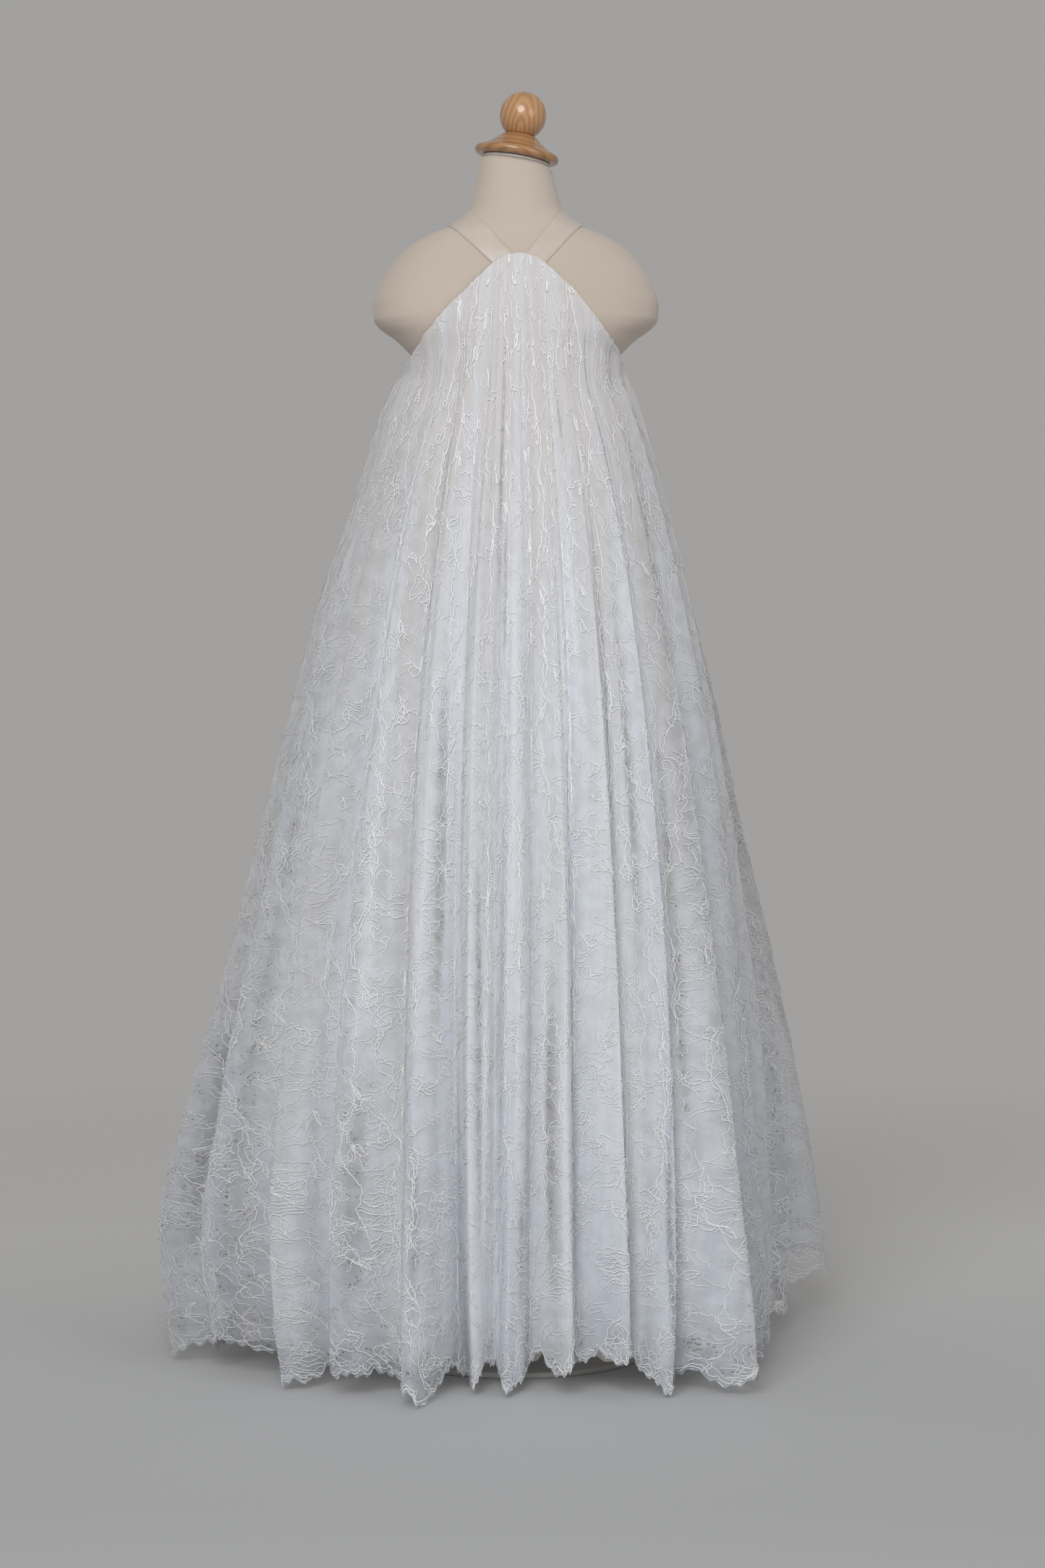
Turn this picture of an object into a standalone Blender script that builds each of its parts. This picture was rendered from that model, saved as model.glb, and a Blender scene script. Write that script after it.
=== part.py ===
"""Flower girl dress of gathered lace with satin halter straps, on a limbless child's dress form.

Metres, +Z up. The floor is at z = 0, the front looks towards -Y, and left is -X, as seen from the
front. Directions round the body are angles from +X, so the left side is 180, the front 270 and the
right side 360. A place on the skirt is named by its fold, counted from the left side seam round the
front, and by its share of the way from the top edge to the hem.
"""

import math

import bmesh
import bpy
import numpy as np

# Thickness of the cloths and the gaps between the pieces
LACE_THICKNESS = 0.0012
LINING_THICKNESS = 0.001
STRAP_THICKNESS = 0.001
SEAM_GAP = 0.0006
FACE_GAP = 0.0003

# Distance of each cloth's middle from the form where it lies on it
STRAP_OUT = 0.0012
LINING_OUT = 0.0019
LACE_OUT = 0.0043

# Neck, cap, knob and stand
NECK_TOP_Z = 1.2185
NECK_TILT = math.radians(9)
NECK_TILT_START_Z = 1.185
PLATE_RADIUS = 0.0345
PLATE_THICKNESS = 0.003
CAP_RADIUS = 0.0432
CAP_HEIGHT = 0.0245
CAP_NECK_RADIUS = 0.0165
CAP_LIP = 0.0088
CAP_FLARE_POWER = 1.25
CAP_FLARE_STEPS = 5
CAP_LIP_STEPS = 5
KNOB_RADIUS = 0.0238
KNOB_HEIGHT = 0.0485
KNOB_SEAT_RADIUS = 0.014
KNOB_STEPS = 11
POLE_RADIUS = 0.0125
BASE_RADIUS = 0.14
BASE_THICKNESS = 0.006
BASE_BEVEL = 0.002
ROUND_STEPS = 28
SHARP_ANGLE = math.radians(40)

# Form: its horizontal section at each height is a rounded oval
FORM_SQUARENESS = 2.25
FORM_FINE_ABOVE_Z = 1.12
FORM_COLUMNS = 36
FORM_NAMES = "z half_width front back"
FORM_ROWS = (
    (0.655, 0.086, 0.066, 0.074),
    (0.670, 0.101, 0.080, 0.090),
    (0.720, 0.111, 0.089, 0.101),
    (0.780, 0.109, 0.092, 0.095),
    (0.860, 0.101, 0.091, 0.080),
    (0.940, 0.101, 0.089, 0.076),
    (0.990, 0.102, 0.086, 0.076),
    (1.019, 0.105, 0.083, 0.076),
    (1.030, 0.114, 0.081, 0.076),
    (1.040, 0.125, 0.080, 0.076),
    (1.049, 0.138, 0.078, 0.075),
    (1.058, 0.145, 0.077, 0.075),
    (1.072, 0.146, 0.074, 0.074),
    (1.090, 0.141, 0.070, 0.071),
    (1.110, 0.130, 0.064, 0.066),
    (1.130, 0.112, 0.057, 0.060),
    (1.144, 0.089, 0.051, 0.055),
    (1.152, 0.068, 0.048, 0.052),
    (1.160, 0.056, 0.0465, 0.049),
    (1.169, 0.048, 0.045, 0.047),
    (1.187, 0.0427, 0.042, 0.0425),
    (1.207, 0.0386, 0.0388, 0.0388),
    (1.2155, 0.0368, 0.037, 0.037),
    (1.2185, 0.033, 0.033, 0.033),
)

# Outer reach of the lace skirt at each height, over the ridges of its folds
REACH_ANGLES = (0, 35, 90, 135, 180, 225, 270, 315)
REACH_NAMES = "z right rear_right rear rear_left left front_left front front_right"
REACH_ROWS = (
    (0.000, 0.266, 0.384, 0.290, 0.330, 0.352, 0.300, 0.225, 0.295),
    (0.060, 0.268, 0.384, 0.290, 0.330, 0.358, 0.305, 0.225, 0.295),
    (0.127, 0.268, 0.376, 0.287, 0.325, 0.364, 0.304, 0.222, 0.290),
    (0.260, 0.262, 0.350, 0.270, 0.305, 0.336, 0.290, 0.212, 0.272),
    (0.420, 0.244, 0.308, 0.245, 0.275, 0.293, 0.262, 0.198, 0.246),
    (0.600, 0.216, 0.252, 0.210, 0.235, 0.246, 0.225, 0.176, 0.212),
    (0.770, 0.180, 0.196, 0.168, 0.190, 0.202, 0.183, 0.147, 0.175),
    (0.880, 0.152, 0.158, 0.134, 0.156, 0.164, 0.150, 0.121, 0.146),
    (0.955, 0.131, 0.128, 0.106, 0.126, 0.141, 0.121, 0.102, 0.120),
    (0.990, 0.118, 0.110, 0.090, 0.108, 0.126, 0.104, 0.091, 0.103),
    (1.012, 0.104, 0.096, 0.078, 0.094, 0.104, 0.090, 0.082, 0.090),
    (1.120, 0.060, 0.050, 0.040, 0.050, 0.060, 0.055, 0.050, 0.055),
)

# Main folds from the left seam round the front, the right seam and the back: where the ridge meets
# the hem, how far it flares past the skirt's reach there, its depth, and the hem's height under it
FOLD_NAMES = "hem_angle flare depth lift"
FRONT_FOLD_ROWS = (
    (188, 0.004, 0.046, 0.014),
    (203, -0.018, 0.045, 0.026),
    (218, -0.020, 0.058, 0.012),
    (233, -0.012, 0.044, 0.022),
    (247, 0.034, 0.072, 0.006),
    (258, -0.022, 0.040, 0.018),
    (269, -0.006, 0.048, 0.012),
    (281, -0.004, 0.044, 0.026),
    (293, -0.010, 0.042, 0.036),
    (305, -0.022, 0.050, 0.014),
    (316, 0.026, 0.064, 0.010),
    (331, -0.012, 0.046, 0.024),
    (348, -0.004, 0.042, 0.022),
)
BACK_FOLD_ROWS = (
    (369, -0.006, 0.040, 0.026),
    (391, 0.012, 0.070, 0.052),
    (411, -0.010, 0.052, 0.030),
    (428, 0.004, 0.046, 0.018),
    (446, 0.000, 0.050, 0.015),
    (463, -0.006, 0.044, 0.018),
    (480, 0.006, 0.050, 0.014),
    (497, -0.008, 0.046, 0.020),
    (513, 0.004, 0.050, 0.016),
    (528, -0.004, 0.044, 0.018),
)
LEFT_SEAM_ANGLE = 180
RIGHT_SEAM_ANGLE = 360
FOLD_GROWTH = 1.15
FLARE_GROWTH = 4

# Fine gathers ride on the folds, three to each
GATHERS_IN_FOLD = 3
SAMPLES_IN_GATHER = 3
GATHER_NAMES = "z depth"
GATHER_ROWS = (
    (0.00, 0.0030),
    (0.30, 0.0050),
    (0.70, 0.0060),
    (0.90, 0.0050),
    (1.00, 0.0030),
    (1.12, 0.0022),
)

# Top edge of the front, from the left underarm over the peak to the right one
TOP_EDGE_NAMES = "x z"
TOP_EDGE_ROWS = (
    (-0.1040, 1.009),
    (-0.0940, 1.029),
    (-0.0820, 1.045),
    (-0.0590, 1.071),
    (-0.0400, 1.090),
    (-0.0224, 1.108),
    (-0.0100, 1.1165),
    (0.0045, 1.1190),
    (0.0180, 1.1160),
    (0.0290, 1.108),
    (0.0546, 1.083),
    (0.0770, 1.056),
    (0.0900, 1.037),
    (0.1040, 1.009),
)
BACK_TOP_Z = 1.003
BACK_TOP_BLEND = 30
SKIRT_TOP_Z = 1.12

# Share of the way from top to hem of each row of points
FRONT_ROWS = (0, 0.016, 0.037, 0.065, 0.105, 0.16, 0.27, 0.45, 0.66, 0.87, 1)
BACK_ROWS = (0, 0.022, 0.06, 0.12, 0.22, 0.38, 0.60, 0.85, 1)

# Lining: a plainer skirt inside the lace
LINING_BELOW_TOP = 0.014
LINING_HEM_Z = 0.034
LINING_CLEAR = 0.010
LINING_FOLD_DEPTH = 0.018
LINING_SAMPLES_IN_FOLD = 3

# Softness of the line where the cloth leaves the form, and a short step for finding slopes
LEAVE_SOFTNESS = 0.005
NUDGE = 1e-4

# Straps: where each edge starts under the lace, crosses the shoulder and meets the nape
STRAP_NAMES = "end_x end_z shoulder_x shoulder_z nape_z"
STRAP_LEFT_ROWS = (
    (-0.0190, 1.1035, -0.0680, 1.1520, 1.138),
    (0.0034, 1.1120, -0.0480, 1.1690, 1.163),
)
STRAP_RIGHT_ROWS = (
    (0.0260, 1.1035, 0.0680, 1.1520, 1.138),
    (0.0056, 1.1120, 0.0480, 1.1690, 1.163),
)
STRAP_FRONT_STEPS = 12
STRAP_BACK_STEPS = 8
STRAP_ACROSS = 3
NAPE_ANGLE = 90


def columns(names, rows):
    """A table's columns as arrays by name."""
    return dict(zip(names.split(), np.array(rows, float).T))


FORM = columns(FORM_NAMES, FORM_ROWS)
REACH = columns(REACH_NAMES, REACH_ROWS)
FOLDS = columns(FOLD_NAMES, FRONT_FOLD_ROWS + BACK_FOLD_ROWS)
GATHERS = columns(GATHER_NAMES, GATHER_ROWS)
TOP_EDGE = columns(TOP_EDGE_NAMES, TOP_EDGE_ROWS)
FRONT_FOLDS = len(FRONT_FOLD_ROWS)
ALL_FOLDS = FRONT_FOLDS + len(BACK_FOLD_ROWS)


def cubic(start, end, start_slope, end_slope, step, share):
    """Cubic from start to end over a step, with these slopes at its ends."""
    square, cube = share**2, share**3
    value = start * (2 * cube - 3 * square + 1) + end * (3 * square - 2 * cube)
    return value + step * (start_slope * (cube - 2 * square + share) + end_slope * (cube - square))


def curve(xs, ys, x):
    """Cubic through a table's points that never overshoots them, level past its ends."""
    x = np.clip(x, xs[0], xs[-1])
    step = np.diff(xs)
    slope = np.diff(ys) / step
    product = slope[:-1] * slope[1:]
    total = np.where(product > 0, slope[:-1] + slope[1:], 1)
    inner = np.where(product > 0, 2 * product / total, 0)
    slopes = np.concatenate([slope[:1], inner, slope[-1:]])
    i = np.clip(np.searchsorted(xs, x, side="right") - 1, 0, len(step) - 1)
    return cubic(ys[i], ys[i + 1], slopes[i], slopes[i + 1], step[i], (x - xs[i]) / step[i])


def ease(share):
    """Smooth step from 0 to 1."""
    share = np.clip(share, 0, 1)
    return share * share * (3 - 2 * share)


def larger(a, b, softness):
    """The larger of two radii, with a soft change from one to the other."""
    return (a + b + np.sqrt((a - b) ** 2 + softness**2)) / 2


def form_radius(angle, z):
    """Distance of the form's surface from its axis in a direction."""
    depth = np.where(
        np.sin(angle) < 0,
        curve(FORM["z"], FORM["front"], z),
        curve(FORM["z"], FORM["back"], z),
    )
    across = np.abs(np.cos(angle) / curve(FORM["z"], FORM["half_width"], z))
    along = np.abs(np.sin(angle) / depth)
    return (across**FORM_SQUARENESS + along**FORM_SQUARENESS) ** (-1 / FORM_SQUARENESS)


def on_form(angle, z, out=0.0):
    """Points this far out from the form's surface, along its normal."""

    def place(a, h):
        radius = form_radius(a, h)
        return np.stack([radius * np.cos(a), radius * np.sin(a), h], axis=-1)

    round_it = place(angle + NUDGE, z) - place(angle - NUDGE, z)
    up_it = place(angle, z + NUDGE) - place(angle, z - NUDGE)
    normal = np.cross(round_it, up_it)
    normal /= np.linalg.norm(normal, axis=-1, keepdims=True)
    return place(angle, z) + out * normal


def form_angle(x, z):
    """Direction, from 180 to 360 degrees, of the point of the form's front at x and z."""
    half_width = curve(FORM["z"], FORM["half_width"], z)
    depth = curve(FORM["z"], FORM["front"], z)
    share = np.clip(1 - np.abs(x / half_width) ** FORM_SQUARENESS, 0, 1)
    y = -depth * share ** (1 / FORM_SQUARENESS)
    return np.degrees(np.arctan2(y, x)) % 360


def reach(angle, z):
    """Outer reach of the skirt's ridges in a direction, round a closed curve of eight."""
    names = REACH_NAMES.split()[1:]
    sides = np.stack([curve(REACH["z"], REACH[name], z) for name in names])
    degrees = np.degrees(angle) % 360
    angles = np.array(REACH_ANGLES, float)
    here = np.searchsorted(angles, degrees, side="right") - 1

    def side(k):
        turns, index = np.divmod(k, len(angles))
        return angles[index] + 360 * turns, np.take_along_axis(sides, index[None], 0)[0]

    (a0, r0), (a1, r1), (a2, r2), (a3, r3) = (side(here + k) for k in (-1, 0, 1, 2))
    slope_1 = (r2 - r0) / (a2 - a0)
    slope_2 = (r3 - r1) / (a3 - a1)
    return cubic(r1, r2, slope_1, slope_2, a2 - a1, (degrees - a1) / (a2 - a1))


def fallen(z):
    """Share of the way down from the skirt's top to the floor."""
    return np.clip(1 - z / SKIRT_TOP_Z, 0, 1)


def fold_table(name, seam_value):
    """A column of the fold table as points along the folds, with its values at the seams."""
    ridges = np.arange(ALL_FOLDS) + 0.5
    places = np.concatenate([[0], ridges[:FRONT_FOLDS], [FRONT_FOLDS], ridges[FRONT_FOLDS:], [ALL_FOLDS]])
    values = FOLDS[name]
    front, back = values[:FRONT_FOLDS], values[FRONT_FOLDS:]
    at_left, at_right, at_end = seam_value(values)
    return places, np.concatenate([[at_left], front, [at_right], back, [at_end]])


def seam_angles(values):
    return LEFT_SEAM_ANGLE, RIGHT_SEAM_ANGLE, LEFT_SEAM_ANGLE + 360


def seam_means(values):
    left = (values[0] + values[-1]) / 2
    return left, (values[FRONT_FOLDS - 1] + values[FRONT_FOLDS]) / 2, left


HEM_ANGLE = fold_table("hem_angle", seam_angles)
FLARE = fold_table("flare", seam_means)
DEPTH = fold_table("depth", seam_means)
LIFT = fold_table("lift", seam_means)


def top_angle(fold):
    """Direction of a fold at the top edge, where the gathers are even."""
    in_front = LEFT_SEAM_ANGLE + 180 * fold / FRONT_FOLDS
    behind = RIGHT_SEAM_ANGLE + 180 * (fold - FRONT_FOLDS) / (ALL_FOLDS - FRONT_FOLDS)
    return np.where(fold < FRONT_FOLDS, in_front, behind)


def fold_angle(fold, z):
    """Direction of a fold at a height, in radians."""
    top = top_angle(fold)
    return np.radians(top + (curve(*HEM_ANGLE, fold) - top) * ease(fallen(z)))


def top_z(fold):
    """Height of the lace's top edge."""
    angle = top_angle(fold)
    edge_angles = form_angle(TOP_EDGE["x"], TOP_EDGE["z"])
    edge_angles[0], edge_angles[-1] = LEFT_SEAM_ANGLE, RIGHT_SEAM_ANGLE
    front = curve(edge_angles, TOP_EDGE["z"], angle)
    from_seam = np.minimum(np.abs(angle - RIGHT_SEAM_ANGLE), np.abs(angle - LEFT_SEAM_ANGLE - 360))
    side_z = TOP_EDGE["z"][0]
    back = side_z + (BACK_TOP_Z - side_z) * ease(from_seam / BACK_TOP_BLEND)
    return np.where(fold <= FRONT_FOLDS, front, back)


def trough_radius(fold, angle, z, out, inside):
    """Distance from the axis of the bottom of the lace's folds, less a distance inside it."""
    down = fallen(z)
    outer = reach(angle, z) + curve(*FLARE, fold) * down**FLARE_GROWTH
    trough = outer - curve(*DEPTH, fold) * down**FOLD_GROWTH - inside
    body = np.where(z > FORM["z"][0], form_radius(angle, z), 0)
    return larger(body + out, trough, LEAVE_SOFTNESS)


def lace_point(fold, share):
    """Point of the lace at a fold, this share of the way from its top edge to its hem."""
    top = top_z(fold)
    z = top + (curve(*LIFT, fold) - top) * share
    angle = fold_angle(fold, z)
    ridge = (1 + np.cos(2 * math.pi * (fold - 0.5))) / 2
    gather = (1 + np.cos(2 * math.pi * GATHERS_IN_FOLD * (fold - 0.5))) / 2
    radius = trough_radius(fold, angle, z, LACE_OUT, 0)
    radius = radius + curve(*DEPTH, fold) * fallen(z) ** FOLD_GROWTH * ridge
    radius = radius + curve(GATHERS["z"], GATHERS["depth"], z) * gather
    return angle, radius, z


def lining_point(fold, share):
    """Point of the lining, which follows the bottoms of the lace's folds from inside."""
    top = top_z(fold) - LINING_BELOW_TOP
    z = top + (LINING_HEM_Z - top) * share
    angle = fold_angle(fold, z)
    down = fallen(z)
    clear = LACE_OUT - LINING_OUT + LINING_CLEAR * down
    radius = trough_radius(fold, angle, z, LINING_OUT, clear)
    body = np.where(z > FORM["z"][0], form_radius(angle, z), 0)
    room = np.maximum(radius - body - LINING_OUT, 0)
    wave = (1 + np.cos(math.pi * fold)) / 2
    return angle, radius - np.minimum(LINING_FOLD_DEPTH * down, room / 2) * wave, z


def as_points(angle, radius, z):
    return np.stack([radius * np.cos(angle), radius * np.sin(angle), z], axis=-1)


def panel_faces(point, first_fold, last_fold, samples, rows, thickness):
    """Grids of a panel's outer and inner points, held half a seam's gap inside its two seams."""
    count = (last_fold - first_fold) * samples
    fold, share = np.meshgrid(np.linspace(first_fold, last_fold, count + 1), rows)
    round_it = as_points(*point(fold + NUDGE, share)) - as_points(*point(fold - NUDGE, share))
    down_it = as_points(*point(fold, share + NUDGE)) - as_points(*point(fold, share - NUDGE))
    normal = np.cross(down_it, round_it)
    normal *= thickness / 2 / np.linalg.norm(normal, axis=-1, keepdims=True)
    angle, radius, z = point(fold, share)
    angle[:, 0] += SEAM_GAP / 2 / radius[:, 0]
    angle[:, -1] -= SEAM_GAP / 2 / radius[:, -1]
    middle = as_points(angle, radius, z)
    return middle + normal, middle - normal


def height_on_line(end, shoulder, angle):
    """Height at which a straight line on the form, seen from the front, crosses a direction."""
    low, high = 0.0, 1.0
    sign = 1 if shoulder[0] < end[0] else -1
    for _ in range(40):
        share = (low + high) / 2
        x = end[0] + (shoulder[0] - end[0]) * share
        z = end[1] + (shoulder[1] - end[1]) * share
        outside = sign * (x - form_radius(angle, z) * math.cos(angle)) > 0
        low, high = (share, high) if outside else (low, share)
    return end[1] + (shoulder[1] - end[1]) * low


def strap_edge(edge, side_angle, nape_angle):
    """Directions and heights along one edge of a strap, from its lace end to the nape."""
    end = edge["end_x"], edge["end_z"]
    shoulder = edge["shoulder_x"], edge["shoulder_z"]
    end_angle = math.radians(float(form_angle(*end)))
    angles = np.linspace(end_angle, side_angle, STRAP_FRONT_STEPS + 1)
    heights = [height_on_line(end, shoulder, a) for a in angles]
    heights[0], heights[-1] = end[1], shoulder[1]
    share = np.linspace(0, 1, STRAP_BACK_STEPS + 1)[1:]
    back_angles = side_angle + (nape_angle - side_angle) * share
    back_heights = shoulder[1] + (edge["nape_z"] - shoulder[1]) * ease(share)
    return np.concatenate([angles, back_angles]), np.concatenate([heights, back_heights])


def strap_points(rows, side_angle, nape_angle):
    """Grid of a strap's points, each row a line across it."""
    edges = (dict(zip(STRAP_NAMES.split(), row)) for row in rows)
    outer, inner = (strap_edge(edge, side_angle, nape_angle) for edge in edges)
    share = np.linspace(0, 1, STRAP_ACROSS + 1)[None]
    angle = outer[0][:, None] * (1 - share) + inner[0][:, None] * share
    z = outer[1][:, None] * (1 - share) + inner[1][:, None] * share
    return on_form(angle, z, STRAP_OUT)


def clear_scene():
    for obj in list(bpy.data.objects):
        bpy.data.objects.remove(obj, do_unlink=True)


def make_collection(name):
    collection = bpy.data.collections.new(name)
    bpy.context.scene.collection.children.link(collection)
    return collection


def make_material(name, colour, roughness, metallic=0.0):
    material = bpy.data.materials.new(name)
    material.use_nodes = True
    shader = material.node_tree.nodes["Principled BSDF"]
    shader.inputs["Base Color"].default_value = (*colour, 1)
    shader.inputs["Roughness"].default_value = roughness
    shader.inputs["Metallic"].default_value = metallic
    return material


def add_object(name, bm, collection, material, smooth=True):
    """Finish a bmesh as an object of its own."""
    mesh = bpy.data.meshes.new(name)
    bm.to_mesh(mesh)
    bm.free()
    mesh.materials.append(material)
    if smooth:
        mesh.shade_smooth()
        mesh.set_sharp_from_angle(angle=SHARP_ANGLE)
    obj = bpy.data.objects.new(name, mesh)
    collection.objects.link(obj)
    return obj


def cloth_wall(name, outer, inner, collection, material):
    """Wall between two grids of points, split alike into triangles so that its faces never cross."""
    rows, count = outer.shape[:2]
    bm = bmesh.new()
    front, back = ([[bm.verts.new(p) for p in row] for row in grid] for grid in (outer, inner))
    for r in range(rows - 1):
        for c in range(count - 1):
            falling = np.linalg.norm(outer[r, c] - outer[r + 1, c + 1])
            rising = np.linalg.norm(outer[r + 1, c] - outer[r, c + 1])
            corners = [(r, c), (r + 1, c), (r + 1, c + 1), (r, c + 1)]
            if rising < falling:
                corners = corners[1:] + corners[:1]
            for i, j, k in ((0, 1, 2), (0, 2, 3)):
                places = corners[i], corners[j], corners[k]
                bm.faces.new([front[a][b] for a, b in places])
                bm.faces.new([back[a][b] for a, b in reversed(places)])
    rim = [(0, c) for c in range(count)] + [(r, count - 1) for r in range(1, rows)]
    rim += [(rows - 1, c) for c in reversed(range(count - 1))]
    rim += [(r, 0) for r in reversed(range(1, rows - 1))]
    for (a, b), (c, d) in zip(rim, rim[1:] + rim[:1]):
        bm.faces.new((front[a][b], front[c][d], back[c][d], back[a][b]))
    return add_object(name, bm, collection, material)


def strap_strip(name, points, thickness, collection, material):
    """Flat strip on a grid of points, with Solidify for its thickness."""
    rows, count = points.shape[:2]
    bm = bmesh.new()
    bmesh.ops.create_grid(bm, x_segments=count - 1, y_segments=rows - 1, size=0.5)
    bm.verts.ensure_lookup_table()
    for vertex in bm.verts:
        column = round((vertex.co.x + 0.5) * (count - 1))
        row = round((vertex.co.y + 0.5) * (rows - 1))
        vertex.co = points[row, column]
    bmesh.ops.triangulate(bm, faces=bm.faces[:])
    strip = add_object(name, bm, collection, material)
    solidify = strip.modifiers.new("Thickness", "SOLIDIFY")
    solidify.thickness = thickness
    solidify.offset = 0
    return strip


def tilted(x, z):
    """Height of the form's surface near the top of the neck, which slopes down to the right."""
    share = ease((z - NECK_TILT_START_Z) / (NECK_TOP_Z - NECK_TILT_START_Z))
    return z - x * math.tan(NECK_TILT) * share


def make_torso(collection, material):
    """Loft of the form's oval sections from the hips to the top of the neck, closed at both ends."""
    middles = (FORM["z"][1:] + FORM["z"][:-1]) / 2
    heights = np.sort(np.concatenate([FORM["z"], middles[middles > FORM_FINE_ABOVE_Z]]))
    angles = np.arange(FORM_COLUMNS) * 2 * math.pi / FORM_COLUMNS
    bm = bmesh.new()
    rings = []
    for z in heights:
        ring = as_points(angles, form_radius(angles, z), np.full(FORM_COLUMNS, z))
        rings.append([bm.verts.new((x, y, tilted(x, h))) for x, y, h in ring])
    for below, above in zip(rings, rings[1:]):
        for i in range(FORM_COLUMNS):
            j = (i + 1) % FORM_COLUMNS
            bm.faces.new((below[i], below[j], above[j], above[i]))
    bm.faces.new(reversed(rings[0]))
    bm.faces.new(rings[-1])
    return add_object("form_torso", bm, collection, material)


def on_neck(height):
    """Point on the neck's tilted axis, this far above the neck's top."""
    return (height * math.sin(NECK_TILT), 0, NECK_TOP_Z + height * math.cos(NECK_TILT))


def make_cylinder(name, radius, height, base, collection, material, bevel=0.0):
    bm = bmesh.new()
    bmesh.ops.create_cone(
        bm, cap_ends=True, segments=ROUND_STEPS, radius1=radius, radius2=radius, depth=height
    )
    bmesh.ops.translate(bm, verts=bm.verts, vec=(0, 0, height / 2))
    obj = add_object(name, bm, collection, material)
    obj.location = base
    if bevel:
        modifier = obj.modifiers.new("Rounded edge", "BEVEL")
        modifier.width = bevel
        modifier.segments = 2
    return obj


def make_turned(name, profile, base, collection, material):
    """Turned shape from a profile of radius and height, top to bottom, tilted with the neck."""
    bm = bmesh.new()
    verts = [bm.verts.new((radius, 0, height)) for radius, height in profile]
    for a, b in zip(verts, verts[1:]):
        bm.edges.new((a, b))
    obj = add_object(name, bm, collection, material, smooth=False)
    screw = obj.modifiers.new("Turned", "SCREW")
    screw.steps = ROUND_STEPS
    screw.render_steps = ROUND_STEPS
    screw.use_merge_vertices = True
    screw.merge_threshold = 0.00005
    screw.use_smooth_shade = True
    obj.location = base
    obj.rotation_euler = (0, NECK_TILT, 0)
    return obj


def cap_profile():
    """Flared cap: flat seat for the knob, a hollow flare and a round lip over a flat underside."""
    points = [(0, CAP_HEIGHT), (CAP_NECK_RADIUS, CAP_HEIGHT)]
    lip_radius = CAP_LIP / 2
    lip_centre = CAP_RADIUS - lip_radius
    for share in np.arange(1, CAP_FLARE_STEPS) / CAP_FLARE_STEPS:
        radius = CAP_NECK_RADIUS + (lip_centre - CAP_NECK_RADIUS) * share
        height = CAP_LIP + (CAP_HEIGHT - CAP_LIP) * (1 - share) ** CAP_FLARE_POWER
        points.append((radius, height))
    for turn in np.radians(np.linspace(80, -90, CAP_LIP_STEPS + 1)):
        points.append((lip_centre + lip_radius * math.cos(turn), lip_radius * (1 + math.sin(turn))))
    points.append((0, 0))
    return points


def knob_profile():
    """Ball a little taller than wide, cut flat where it sits on the cap."""
    half = KNOB_HEIGHT / 2
    low = -math.acos(KNOB_SEAT_RADIUS / KNOB_RADIUS)
    bottom = half * (1 + math.sin(low))
    points = [(0, KNOB_HEIGHT - bottom)]
    for turn in np.linspace(math.pi / 2, low, KNOB_STEPS + 1)[1:]:
        points.append((KNOB_RADIUS * math.cos(turn), half * (1 + math.sin(turn)) - bottom))
    points.append((0, 0))
    return points


def make_form(collection):
    """Dress form: torso, plate, cap, knob, pole and base."""
    cover = make_material("form_cover", (0.56, 0.48, 0.41), 0.85)
    plate_paint = make_material("plate_paint", (0.66, 0.65, 0.62), 0.5)
    base_paint = make_material("base_paint", (0.44, 0.44, 0.43), 0.45)
    wood = make_material("varnished_wood", (0.46, 0.26, 0.12), 0.25)
    steel = make_material("pole_steel", (0.60, 0.60, 0.60), 0.35, 1.0)
    make_torso(collection, cover)
    plate = make_cylinder(
        "neck_plate", PLATE_RADIUS, PLATE_THICKNESS, on_neck(FACE_GAP), collection, plate_paint
    )
    plate.rotation_euler = (0, NECK_TILT, 0)
    cap_base = PLATE_THICKNESS + 2 * FACE_GAP
    make_turned("neck_cap", cap_profile(), on_neck(cap_base), collection, wood)
    knob_base = cap_base + CAP_HEIGHT + FACE_GAP
    make_turned("neck_knob", knob_profile(), on_neck(knob_base), collection, wood)
    pole_low = BASE_THICKNESS + FACE_GAP
    pole_length = FORM["z"][0] - FACE_GAP - pole_low
    make_cylinder("stand_pole", POLE_RADIUS, pole_length, (0, 0, pole_low), collection, steel)
    make_cylinder(
        "stand_base", BASE_RADIUS, BASE_THICKNESS, (0, 0, 0), collection, base_paint, BASE_BEVEL
    )


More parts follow.
